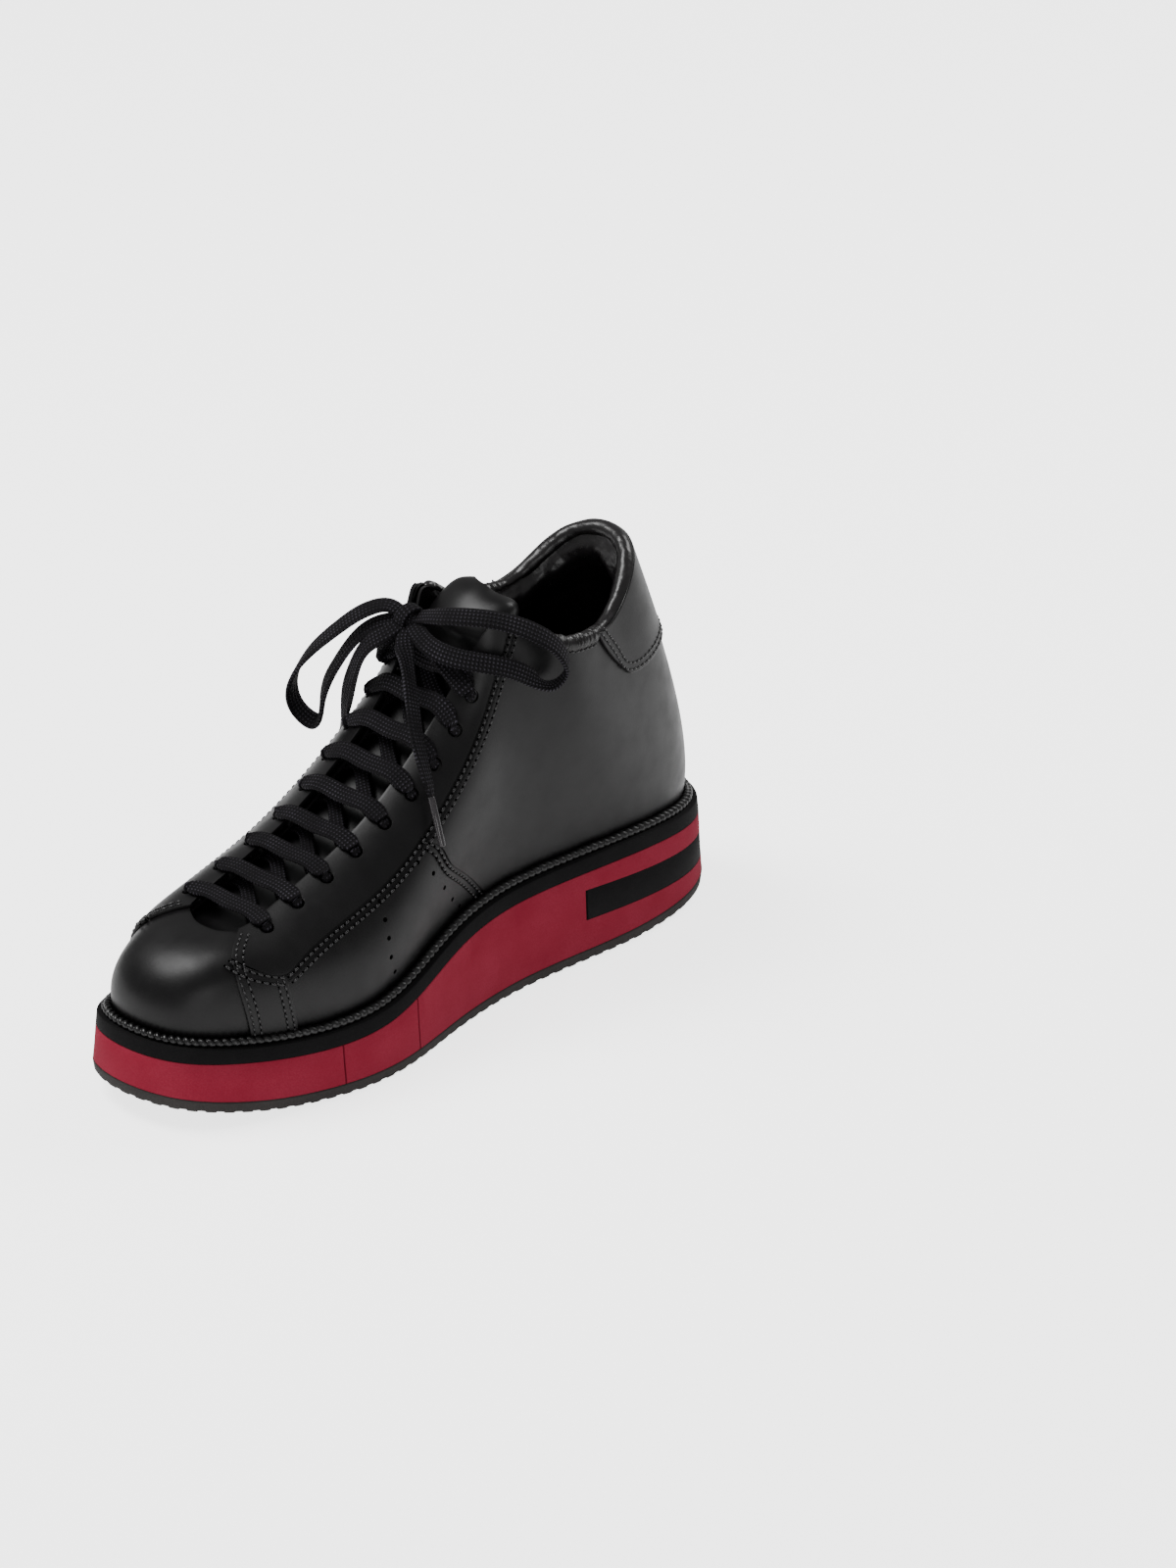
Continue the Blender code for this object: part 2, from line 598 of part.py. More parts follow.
# ---- tongue ----------------------------------------------------------------
def tongue_rows():
    rows = []
    for u in TONGUE_U:
        right = [shell(np.array(u), np.array(t), TONGUE_OFFSET) for t in (0.80, 0.88, 0.96)]
        left = [shell(np.array(2 - u), np.array(t), TONGUE_OFFSET) for t in (0.80, 0.88, 0.96)]
        a = left[-1]
        b = right[-1]
        lift = -0.2
        normal = shell_normal(np.array(u), np.array(0.99)) + shell_normal(np.array(2 - u), np.array(0.99))
        normal = normal / np.linalg.norm(normal)
        middle = [a + (b - a) * f + normal * lift * 4 * f * (1 - f) for f in (0.25, 0.5, 0.75)]
        rows.append(left + middle + right[::-1])
    rows = [np.array(r) for r in rows]
    last = rows[-1]
    centre = last.mean(axis=0)
    for back, up, narrow, across in TONGUE_TOP_STEPS:
        row = centre + (last - centre) * np.array([narrow, 1.0, 1.0]) + np.array([across, back, up])
        spread = (last[:, 0] - centre[0]) / np.ptp(last[:, 0]) * 2
        row[:, 2] -= (1 - narrow) * 14 * spread ** 2
        row[:, 1] += 3.0 * spread ** 2 * (1 - narrow)
        rows.append(row)
    return np.array(rows)


def build_tongue(group):
    mat = material("leather_tongue", (0.020, 0.020, 0.021), 0.36)
    rows = tongue_rows()
    na, nb = rows.shape[:2]
    hinge = np.array(TONGUE_HINGE)
    faces = []
    for i in range(na - 1):
        for j in range(nb - 1):
            faces.append((i * nb + j, i * nb + j + 1, (i + 1) * nb + j + 1, (i + 1) * nb + j))
    obj = add_object(group, "tongue", (rows - hinge).reshape(-1, 3), faces, mat)
    obj.location = [c * MM for c in TONGUE_HINGE]
    if obj.data.polygons[0].normal.z < 0:
        obj.data.flip_normals()
    thick = obj.modifiers.new("thickness", "SOLIDIFY")
    thick.thickness = TONGUE_THICK * MM
    thick.offset = -1.0
    return obj


# ---- lace ------------------------------------------------------------------
def ribbon(group, name, path, normals, widths, thicks, mat):
    """Flat lace swept along a path with a given facing and a varying section."""
    rings = []
    n = len(path)
    for i in range(n):
        a = path[max(i - 1, 0)]
        b = path[min(i + 1, n - 1)]
        along = (b - a) / np.linalg.norm(b - a)
        face = normals[i] - along * float(np.dot(normals[i], along))
        face = face / np.linalg.norm(face)
        side = np.cross(along, face)
        w = widths[i] / 2
        h = thicks[i] / 2
        ring = []
        for dx, dz in ((-w, -h * 0.4), (-w, h * 0.4), (-w * 0.8, h), (w * 0.8, h),
                       (w, h * 0.4), (w, -h * 0.4), (w * 0.8, -h), (-w * 0.8, -h)):
            ring.append(path[i] + side * dx + face * dz)
        rings.append(ring)
    return ring_tube(group, name, rings, mat, False)


def lace_route():
    """Stations of the laced part: point, facing, width and thickness."""
    stations = []
    over = OVERLAY_OFFSET + OVERLAY + LACE_THICK / 2 + 0.5
    under = LINING_OFFSET - LACE_THICK / 2 - 0.5
    w_in, t_in = LACE_IN_HOLE
    for row, (u, t) in enumerate(EYELETS):
        hole = {}
        normal = {}
        for side in (-1, 1):
            s = np.array(u if side > 0 else 2 - u)
            hole[side] = shell(s, np.array(t))
            normal[side] = shell_normal(s, np.array(t))
        across = hole[1] - hole[-1]
        across = across / np.linalg.norm(across)
        facing = normal[1] + normal[-1]
        facing = facing / np.linalg.norm(facing)
        sides = {}
        for side in (-1, 1):
            inward = -across * side
            line = []
            for height, w, h in ((under - 0.6, w_in, t_in), (-0.6, w_in, t_in), (2.4, w_in, t_in)):
                line.append((hole[side] + normal[side] * height, inward, w, h))
            s = np.array(u if side > 0 else 2 - u)
            steps = ((0.30, 1.3, 5.4, 0.5), (0.62, 0.9, LACE_WIDTH, 0.0), (1.0, 0.5, LACE_WIDTH, 0.0))
            for f, lift, w, tilt in steps:
                at = np.array(t + (0.99 - t) * f)
                face = shell_normal(s, at)
                line.append((shell(s, at) + face * (over + lift), face + inward * tilt, w, LACE_THICK))
            sides[side] = line
        stations += sides[-1]
        middle = (sides[-1][-1][0] + sides[1][-1][0]) / 2 + facing * 0.6
        stations.append((middle, facing, LACE_WIDTH, LACE_THICK))
        stations += sides[1][::-1]
        if row + 1 < len(EYELETS):
            u2, t2 = EYELETS[row + 1]
            begin_s = np.array(u)
            end_s = np.array(2 - u2)
            for s, at in ((begin_s, 0.95), (begin_s, 0.99)):
                here = np.array(at)
                face = shell_normal(s, here)
                stations.append((shell(s, here) + face * (under - 0.2), -face, LACE_WIDTH * 0.8, LACE_THICK))
            a = stations[-1][0]
            b = shell(end_s, np.array(0.99)) + shell_normal(end_s, np.array(0.99)) * (under - 0.2)
            stations.append(((a + b) / 2 + facing * 0.8, -facing, LACE_WIDTH * 0.8, LACE_THICK))
            for s, at in ((end_s, 0.99), (end_s, 0.95)):
                here = np.array(at)
                face = shell_normal(s, here)
                stations.append((shell(s, here) + face * (under - 0.2), -face, LACE_WIDTH * 0.8, LACE_THICK))
    return stations


def lead_route(side):
    """Stations of the lead from the top eyelet on one side up to the knot."""
    u, t = EYELETS[-1]
    s = np.array(u if side > 0 else 2 - u)
    normal = shell_normal(s, np.array(t))
    start = shell(s, np.array(t)) + normal * (OVERLAY_OFFSET + OVERLAY + LEAD_RISE)
    knot = np.array(KNOT)
    end = knot + np.array([side * 4.4, 3.0, -5.6])
    facing = np.array([0.0, -0.9, 0.45])
    stations = []
    for f in np.linspace(0, 1, 7):
        point = start + (end - start) * f + facing * 9.5 * f * (1 - f)
        face = normal * (1 - f) + facing * f
        stations.append((point, face, LACE_WIDTH * (1 - 0.35 * f), LACE_THICK))
    return stations


def round_cord(group, name, points, diameter, mat, count):
    """Plain round tube along a smooth route."""
    route = polyline(points, count)
    data = bpy.data.curves.new(name, "CURVE")
    data.dimensions = "3D"
    data.bevel_depth = diameter / 2 * MM
    data.bevel_resolution = 2
    data.use_fill_caps = True
    line = data.splines.new("POLY")
    line.points.add(len(route) - 1)
    for item, point in zip(line.points, route):
        item.co = (*[float(c) * MM for c in point], 1.0)
    obj = bpy.data.objects.new(name, data)
    group.objects.link(obj)
    data.materials.append(mat)
    return obj


def build_lace(group):
    cotton = material("cotton_lace", (0.018, 0.018, 0.019), 0.8)
    tip = material("plastic_aglet", (0.35, 0.33, 0.31), 0.25)
    stations = lace_route()
    ribbon(group, "lace_run", *zip(*stations), cotton)
    for side, tag in ((1, "L"), (-1, "R")):
        ribbon(group, f"lace_lead_{tag}", *zip(*lead_route(side)), cotton)
    bpy.ops.mesh.primitive_uv_sphere_add(segments=16, ring_count=10, radius=1.0, location=[c * MM for c in KNOT])
    knot = bpy.context.active_object
    knot.name = "lace_knot"
    knot.data.name = "lace_knot"
    for other in list(knot.users_collection):
        other.objects.unlink(knot)
    group.objects.link(knot)
    knot.data.transform(Matrix.Diagonal((*[r * MM for r in KNOT_RADII], 1.0)))
    knot.data.materials.append(cotton)
    round_cord(group, "lace_loop_A", LOOP_A, CORD_DIAMETER, cotton, 40)
    round_cord(group, "lace_loop_B", LOOP_B, CORD_DIAMETER, cotton, 40)
    for tag, route in (("A", END_A), ("B", END_B)):
        round_cord(group, f"lace_end_{tag}", route, CORD_DIAMETER, cotton, 22)
        line = polyline(route, 22)
        along = line[-1] - line[-3]
        along = along / np.linalg.norm(along)
        begin = line[-1] + along * GAP
        round_cord(group, f"aglet_{tag}", [begin, begin + along * AGLET_LENGTH], AGLET_DIAMETER, tip, 4)


def main():
    clear_scene()
    group = make_collection("basketball_high_top")
    cutters = make_collection("tools")
    build_sole(group, cutters)
    build_upper(group, cutters)
    build_collar(group)
    build_tongue(group)
    build_lace(group)


if __name__ == "__main__":
    main()
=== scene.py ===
"""Looks of the leather platform high top: skins, seams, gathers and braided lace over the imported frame."""

import logging
import math
from abc import ABC, abstractmethod
from dataclasses import dataclass, field
from enum import Enum
from typing import Callable, Sequence

import bpy
import numpy as np
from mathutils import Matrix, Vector


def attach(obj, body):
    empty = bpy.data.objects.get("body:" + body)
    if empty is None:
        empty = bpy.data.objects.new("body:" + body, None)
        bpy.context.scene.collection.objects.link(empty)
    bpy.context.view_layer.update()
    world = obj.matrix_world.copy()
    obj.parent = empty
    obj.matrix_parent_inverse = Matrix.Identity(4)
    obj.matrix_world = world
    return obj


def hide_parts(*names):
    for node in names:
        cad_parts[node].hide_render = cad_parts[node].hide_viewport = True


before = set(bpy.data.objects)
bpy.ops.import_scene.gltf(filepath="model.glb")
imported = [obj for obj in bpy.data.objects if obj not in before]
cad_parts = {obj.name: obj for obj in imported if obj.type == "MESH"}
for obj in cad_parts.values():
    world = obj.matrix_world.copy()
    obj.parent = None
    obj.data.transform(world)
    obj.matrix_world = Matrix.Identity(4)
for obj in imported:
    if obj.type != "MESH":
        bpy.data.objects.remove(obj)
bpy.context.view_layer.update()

LOG = logging.getLogger("high_top")
MM = 0.001
Array = np.ndarray
UT = tuple[float, float]


class Body(Enum):
    """CAD bodies that pieces ride on."""

    SHOE = "shoe"
    TONGUE = "tongue"


# ---- the last: outline, heights and the surface of the upper ---------------------------------
STATION_Y = (146, 133, 105, 65, 25, -15, -55, -90, -120, -138, -146)
HALF_INNER = (0, 24.5, 35, 36, 35.5, 42, 50.5, 46.5, 37, 25, 0)
HALF_OUTER = (0, 24.5, 33, 35, 38, 44.5, 47.5, 41, 31.5, 22, 0)
TOE_TIP_X = 1.0
LEVEL_Y = (-147, -105, -55, -5, 45, 95, 147)
GROUND_Z = (9.5, 2.0, 0, 0, 0, 0.5, 3.5)
RED_BOTTOM_Z = (14.5, 7.0, 5.0, 5.0, 5.0, 5.5, 9.0)
RED_TOP_Z = (28.5, 22.5, 22.5, 34.0, 37.0, 36.0, 31.5)
GROUND_FLAT = (-66, 84)
SLIT_Y = (-78.0, -39.5)
SLIT_GAP = 0.7
BEYOND = 400.0
FLANGE_THICK = 6.0
INLAY_START_Y = 60.0
INLAY_LOW = (17.5, 14.0)
INLAY_HIGH = (30.0, 24.5)
FEATHER_INSET = 7.5
LACE_AXIS_X = 4.0
COLLAR_AXIS_X = 2.0
COLLAR_RIB_LIMIT = 0.12
# u round the side (0 heel, 1 toe); top edge; top handle; foot handle (out, up), all in mm
RIBS = (
    (0.000, (0, 107, 156), (0, 10, -34), (7, 22)),
    (0.050, (17, 100, 151), (6, 9, -32), (6, 24)),
    (0.105, (26, 83, 137), (5, 6, -30), (5, 27)),
    (0.170, (29, 64, 134.5), (5, 3, -32), (4, 30)),
    (0.330, (27, 40, 143.5), (8, 4, -34), (4, 32)),
    (0.420, (21, 22, 151), (10, 2, -32), (4, 34)),
    (0.500, (14.5, 8, 128), (20, 0, -14), (5, 30)),
    (0.600, (14, -31, 93), (22, 0, -8), (6, 26)),
    (0.700, (14, -66, 76), (22, -2, -5), (6, 22)),
    (0.790, (14, -96, 66), (20, -8, -2), (6, 20)),
    (0.860, (11, -102, 65), (14, -18, -1), (5, 19)),
    (0.930, (6, -104.5, 64.5), (8, -20, 0), (5, 19)),
    (1.000, (0, -105.5, 64.5), (0, -21, 0), (5, 19)),
)

# ---- seams and holes on the upper, (u, t) ----------------------------------------------------
EYESTAY_EDGE = (
    (0.782, 0.50), (0.755, 0.57), (0.725, 0.613), (0.653, 0.638), (0.578, 0.656),
    (0.520, 0.700), (0.452, 0.806), (0.412, 0.906), (0.392, 0.995),
)
STAY_FOOT = ((0.853, 0.712), (0.820, 0.608), (0.782, 0.500))
TAB_TOP = ((0.852, 0.700), (0.820, 0.598), (0.783, 0.488))
TAB_FRONT = ((0.837, 0.03), (0.847, 0.43), TAB_TOP[0])
TAB_REAR = ((0.777, 0.03), (0.783, 0.28), TAB_TOP[-1])
QUARTER_SEAM = ((0.443, 0.0), (0.486, 0.16), (0.533, 0.331), (0.558, 0.50), (0.580, 0.64))
HEEL_TAB_SEAM = ((0.0, 0.655), (0.072, 0.688), (0.100, 0.715), (0.122, 0.750), (0.135, 0.85), (0.152, 0.99))
EYELETS = (
    (0.773, 0.885), (0.730, 0.895), (0.690, 0.900), (0.647, 0.900), (0.607, 0.885),
    (0.575, 0.860), (0.547, 0.850), (0.518, 0.856), (0.487, 0.875),
)
HOLES = (
    (0.648, 0.575), (0.647, 0.460), (0.645, 0.345), (0.642, 0.225), (0.632, 0.110),
    (0.590, 0.560), (0.567, 0.406), (0.540, 0.250), (0.515, 0.130), (0.495, 0.050),
)
EYELET_DIAMETER = 5.4
HOLE_DIAMETER = 1.9
LEATHER = 1.3
OVERLAY = 1.35
OVERLAY_LIFT = 0.02
HEEL_LIFT = 0.45
QUARTER_LIFT = 0.55

# ---- tongue and lace -------------------------------------------------------------------------
TONGUE_ROWS = (
    (0.845, -3.2), (0.800, -4.6), (0.770, -5.8), (0.730, -6.5), (0.690, -6.9), (0.647, -7.0), (0.607, -7.0),
    (0.575, -7.0), (0.547, -7.0), (0.518, -7.0), (0.487, -7.0), (0.460, -7.0), (0.435, -7.0),
)
TONGUE_CROWN = 4.5
TONGUE_TOP_STEPS = ((7, 6.5, 0.96, 0.8), (13, 9.0, 0.90, 1.6), (17, 9.5, 0.74, 2.2))
TONGUE_PEAK = 2.6
LACE_WIDTH = 7.4
LACE_THICK = 2.0
LACE_IN_HOLE = (3.8, 2.5)
LACE_OFFSET = 2.85
LINING_OFFSET = -3.7
LEAD_RISE = 6.0
KNOT = (-6.0, 9.0, 147.5)
AGLET_LENGTH = 19.0
AGLET_DIAMETER = 2.6
LOOP_A = (
    (-13.8, 7.0, 150.5), (-20, 3, 149), (-30, -5, 140), (-41, -12, 126), (-46, -14, 112), (-43.5, -11, 102),
    (-38, -9.5, 100), (-34.5, -9, 110), (-29.5, -6, 126), (-21.5, 0.5, 140), (-13.8, 5.0, 145.2),
)
LOOP_A_FACE = (
    (0.2, -0.3, 1), (0, -0.5, 0.9), (-0.3, -0.7, 0.6), (-0.7, -0.6, 0.3), (-1, -0.2, 0), (-0.5, 0.3, -0.8),
    (0.4, 0.5, -0.6), (0.6, 0.7, 0), (0.4, 0.7, -0.3), (0.2, 0.6, -0.6), (0, 0.5, -0.8),
)
LOOP_B = (
    (1.8, 9.5, 150.5), (12, 9.5, 154), (23, 14.5, 155.5), (32, 23, 153.5), (38.5, 33, 147.5), (42.5, 42, 137),
    (42.5, 43.0, 129.5), (40.8, 38.0, 126), (39.0, 28.5, 131.5),
    (34.5, 17, 138.5), (22, 5, 142), (10, 3.5, 143.5),
    (1.8, 5.5, 145.5),
)
LOOP_B_FACE = (
    (0.1, -0.5, 0.9), (0.2, -0.5, 0.8), (0.35, -0.5, 0.8), (0.55, -0.4, 0.7),
    (0.8, -0.1, 0.5), (0.8, 0.4, 0.3),
    (0.6, 0.6, -0.5), (0.0, -0.2, -1), (-0.6, 0.3, -0.7), (-0.6, 0.55, -0.55), (-0.4, 0.7, -0.5),
    (-0.2, 0.7, -0.6), (-0.1, 0.6, -0.7),
)
END_A = (
    (-2.5, 3.0, 142.0), (3.5, -2.0, 138), (16, -11, 128.5), (27.5, -18, 113), (33.5, -20, 104),
    (36.3, -20.8, 98.5),
)
END_A_FACE = (
    (0.3, -0.7, 0.5), (0.8, -0.1, 0.5), (0.9, 0.1, 0.3), (0.95, 0.2, 0.2), (0.9, 0.3, 0), (0.9, 0.3, 0),
)
END_B = ((-9.5, 1.4, 143.0), (-15, -3.0, 138.0), (-21.5, -4.8, 126), (-27.5, -3.0, 112), (-32.5, 0, 99.5))
END_B_FACE = ((0, -0.8, 0.5), (-0.3, -0.8, 0.3), (-0.3, -0.9, 0.1), (-0.2, -0.9, 0), (-0.2, -0.9, 0))


def spline(knots: Sequence[float], values: Array, at: Array, closed: bool = False) -> Array:
    """Cubic spline through the knots.

    Args:
        knots: Rising parameter of each value.
        values: One number or row per knot.
        at: Parameters to read at.
        closed: True when the last value meets the first.

    Returns:
        The values read at the wanted parameters.
    """
    x = np.asarray(knots, float)
    y = np.asarray(values, float)
    n = len(x)
    h = np.diff(x)
    system = np.zeros((n, n))
    right = np.zeros((n,) + y.shape[1:])
    for i in range(1, n - 1):
        system[i, i - 1:i + 2] = (h[i - 1], 2 * (h[i - 1] + h[i]), h[i])
        right[i] = 6 * ((y[i + 1] - y[i]) / h[i] - (y[i] - y[i - 1]) / h[i - 1])
    system[0, 0] = 1
    system[-1, -1] = 1
    if closed:
        system[0, -1] = -1
        system[-1, 0] += 2 * h[0]
        system[-1, 1] += h[0]
        system[-1, -1] = 2 * h[-1]
        system[-1, -2] += h[-1]
        right[-1] = 6 * ((y[1] - y[0]) / h[0] - (y[-1] - y[-2]) / h[-1])
    bend = np.linalg.solve(system, right.reshape(n, -1)).reshape(right.shape)
    at = np.asarray(at, float)
    i = np.clip(np.searchsorted(x, at, side="right") - 1, 0, n - 2)
    shape = at.shape + (1,) * (y.ndim - 1)
    step = h[i].reshape(shape)
    a = ((x[i + 1] - at) / h[i]).reshape(shape)
    b = 1 - a
    return a * y[i] + b * y[i + 1] + ((a**3 - a) * bend[i] + (b**3 - b) * bend[i + 1]) * step**2 / 6


def unit(v: Array) -> Array:
    """Rows scaled to length one.

    Args:
        v: Vectors along the last axis.

    Returns:
        The unit vectors.
    """
    return v / np.maximum(np.linalg.norm(v, axis=-1, keepdims=True), 1e-12)


def along_curve(points: Array, n: int) -> Array:
    """n rows spread evenly by length along a smooth curve through the given rows.

    Args:
        points: Rows to pass through; their first three numbers (or all, if fewer) set the length.
        n: Number of rows wanted.

    Returns:
        The evenly spread rows.
    """
    p = np.asarray(points, float)
    width = min(3, p.shape[1])
    run = np.concatenate([[0], np.cumsum(np.linalg.norm(np.diff(p[:, :width], axis=0), axis=1))])
    fine = spline(run, p, np.linspace(0, run[-1], 1200)) if len(p) > 2 else np.linspace(p[0], p[1], 1200)
    length = np.concatenate([[0], np.cumsum(np.linalg.norm(np.diff(fine[:, :width], axis=0), axis=1))])
    at = np.linspace(0, length[-1], n)
    return np.stack([np.interp(at, length, fine[:, k]) for k in range(p.shape[1])], -1)


class Last:
    """Shape of the shoe: sole outline, heights along it and the surface of the upper, in mm."""

    def __init__(self) -> None:
        inner = [(w, y) for w, y in zip(HALF_INNER, STATION_Y)]
        inner[-1] = (TOE_TIP_X, STATION_Y[-1])
        outer = [(-w, y) for w, y in zip(HALF_OUTER, STATION_Y)][-2:0:-1]
        self.outline = np.array(inner + outer + inner[:1], float)
        run = np.concatenate([[0], np.cumsum(np.linalg.norm(np.diff(self.outline, axis=0), axis=1))])
        toe = len(inner) - 1
        past = (run - run[toe]) / (run[-1] - run[toe])
        self.outline_s = np.where(run <= run[toe], run / run[toe], 1 + past)
        keys = [rib[0] for rib in RIBS]
        rows = []
        for j, (key, top, handle, foot) in enumerate(RIBS + RIBS[-2::-1]):
            side = 1 if j < len(RIBS) else -1
            centre = COLLAR_AXIS_X if key < COLLAR_RIB_LIMIT else LACE_AXIS_X
            rows.append((centre + side * top[0], *top[1:], side * handle[0], *handle[1:], *foot))
        self.rib_s = np.array(keys + [2 - k for k in keys[-2::-1]])
        self.ribs = np.array(rows, float)

    def edge(self, s: Array, inset: Array = 0.0) -> tuple[Array, Array]:
        """Point of the outline moved inwards.

        Args:
            s: Place round the outline, 0 heel to 1 toe along the inner side, to 2 at the heel again.
            inset: Millimetres inwards.

        Returns:
            The points and the outward directions there.
        """
        s = np.asarray(s, float) % 2
        point = spline(self.outline_s, self.outline, s, True)
        ahead = spline(self.outline_s, self.outline, (s + 1e-3) % 2, True)
        behind = spline(self.outline_s, self.outline, (s - 1e-3) % 2, True)
        way = unit(ahead - behind)
        out = np.stack([-way[..., 1], way[..., 0]], -1)
        return point - out * np.broadcast_to(np.asarray(inset, float), s.shape)[..., None], out

    def level(self, table: Sequence[float], y: Array) -> Array:
        """Height table read at y.

        Args:
            table: Heights at LEVEL_Y.
            y: Places along the shoe.

        Returns:
            The heights.
        """
        return spline(LEVEL_Y, table, np.clip(y, -147, 147))

    def ground(self, y: Array) -> Array:
        """Underside of the outsole at y: on the floor between the toe and heel rises.

        Args:
            y: Places along the shoe.

        Returns:
            The heights.
        """
        low, high = GROUND_FLAT
        ramp = np.clip(np.maximum((low - y) / 12.0, (y - high) / 12.0), 0, 1)
        return np.maximum(self.level(GROUND_Z, y), 0) * ramp

    def flange_top(self, y: Array) -> Array:
        """Top of the black flange that carries the upper.

        Args:
            y: Places along the shoe.

        Returns:
            The heights.
        """
        return self.level(RED_TOP_Z, y) + FLANGE_THICK

    def point(self, s: Array, t: Array) -> Array:
        """Surface of the upper.

        Args:
            s: Place round the shoe, as for edge.
            t: 0 at the welt to 1 at the top edge.

        Returns:
            The points.
        """
        s, t = np.broadcast_arrays(np.asarray(s, float) % 2, np.asarray(t, float))
        foot, out = self.edge(s, FEATHER_INSET)
        base = np.concatenate([foot, (self.flange_top(foot[..., 1]) + 0.35)[..., None]], -1)
        row = spline(self.rib_s, self.ribs, s, True)
        top = row[..., 0:3]
        low = base + np.concatenate([out * row[..., 6:7], row[..., 7:8]], -1)
        high = top + row[..., 3:6]
        t = t[..., None]
        return (1 - t) ** 3 * base + 3 * (1 - t) ** 2 * t * low + 3 * (1 - t) * t**2 * high + t**3 * top

    def normal(self, s: Array, t: Array) -> Array:
        """Outward direction of the upper's surface.

        Args:
            s: Place round the shoe.
            t: Place up the upper.

        Returns:
            The unit normals.
        """
        s, t = np.broadcast_arrays(np.asarray(s, float), np.asarray(t, float))
        way = self.point(s + 2e-3, t) - self.point(s - 2e-3, t)
        rise = self.point(s, np.minimum(t + 4e-3, 1.0)) - self.point(s, np.maximum(t - 4e-3, 0.0))
        return unit(np.cross(rise, way))

    def shell(self, s: Array, t: Array, offset: Array = 0.0) -> Array:
        """Surface of the upper moved outwards.

        Args:
            s: Place round the shoe.
            t: Place up the upper.
            offset: Millimetres outwards.

        Returns:
            The points.
        """
        here = self.point(s, t)
        rise = np.broadcast_to(np.asarray(offset, float), here.shape[:-1])
        return here + self.normal(s, t) * rise[..., None]


LAST = Last()


# ---- materials -------------------------------------------------------------------------------
def linear(code: str) -> tuple[float, float, float, float]:
    """sRGB hex colour as linear RGBA.

    Args:
        code: Colour such as "#2a2a2c".

    Returns:
        Linear red, green, blue and alpha.
    """
    parts = [int(code[i:i + 2], 16) / 255 for i in (1, 3, 5)]
    return (*[((c + 0.055) / 1.055) ** 2.4 if c > 0.04045 else c / 12.92 for c in parts], 1.0)


def add_node(
    tree: bpy.types.NodeTree, kind: str, settings: dict | None = None, **inputs: object
) -> bpy.types.Node:
    """Adds one shader node with its settings and links.

    Args:
        tree: Node tree to add to.
        kind: Blender's node type.
        settings: Properties of the node; the key "at" holds values for numbered sockets.
        inputs: Socket values or sockets to link from, by name with _ for a space.

    Returns:
        The new node.
    """
    node = tree.nodes.new(kind)
    settings = dict(settings or {})
    wanted = {name.replace("_", " "): value for name, value in inputs.items()}
    wanted.update(settings.pop("at", {}))
    for name, value in settings.items():
        setattr(node, name, value)
    for name, value in wanted.items():
        if isinstance(value, bpy.types.NodeSocket):
            tree.links.new(value, node.inputs[name])
        else:
            node.inputs[name].default_value = value
    return node


@dataclass(frozen=True)
class Finish(ABC):
    """A surface: what it is made of and how it was made."""

    name: str
    base: str
    roughness: float
    shine: float = 0.5

    def material(self) -> bpy.types.Material:
        """Makes the Blender material, once.

        Returns:
            The material.
        """
        found = bpy.data.materials.get(self.name)
        if found:
            return found
        made = bpy.data.materials.new(self.name)
        made.use_nodes = True
        shader = made.node_tree.nodes["Principled BSDF"]
        shader.inputs["Base Color"].default_value = linear(self.base)
        shader.inputs["Roughness"].default_value = self.roughness
        shader.inputs["Specular IOR Level"].default_value = self.shine
        self.detail(made.node_tree, shader)
        return made

    @abstractmethod
    def detail(self, tree: bpy.types.NodeTree, shader: bpy.types.Node) -> None:
        """Adds the pattern of this finish.

        Args:
            tree: Node tree of the material.
            shader: Its Principled node.
        """

    @staticmethod
    def noise(tree: bpy.types.NodeTree, size_mm: float, detail: float = 2.0) -> bpy.types.NodeSocket:
        """Noise with a given real size.

        Args:
            tree: Node tree of the material.
            size_mm: Width of one blotch.
            detail: Octaves.

        Returns:
            The noise socket.
        """
        place = add_node(tree, "ShaderNodeTexCoord").outputs["Object"]
        made = add_node(tree, "ShaderNodeTexNoise", Vector=place, Scale=1 / (size_mm * MM), Detail=detail)
        return made.outputs["Fac"]


@dataclass(frozen=True)
class Leather(Finish):
    """Chrome-tanned leather: fine grain, broad soft waviness and slightly uneven polish."""

    grain_mm: float = 0.7
    grain_depth: float = 0.03
    wave_mm: float = 24.0
    wave_depth: float = 0.25
    polish: float = 0.10

    def detail(self, tree: bpy.types.NodeTree, shader: bpy.types.Node) -> None:
        wave = self.noise(tree, self.wave_mm, 1.0)
        grain = self.noise(tree, self.grain_mm, 3.0)
        broad = add_node(tree, "ShaderNodeBump", Height=wave, Strength=0.6, Distance=self.wave_depth * MM)
        fine = add_node(tree, "ShaderNodeBump", Height=grain, Strength=0.7, Distance=self.grain_depth * MM,
                        Normal=broad.outputs[0])
        tree.links.new(fine.outputs[0], shader.inputs["Normal"])
        patch = self.noise(tree, 9.0, 3.0)
        low, high = self.roughness - self.polish / 2, self.roughness + self.polish / 2
        worn = add_node(tree, "ShaderNodeMapRange", Value=patch, From_Min=0.3, From_Max=0.7,
                        To_Min=low, To_Max=high)
        tree.links.new(worn.outputs[0], shader.inputs["Roughness"])


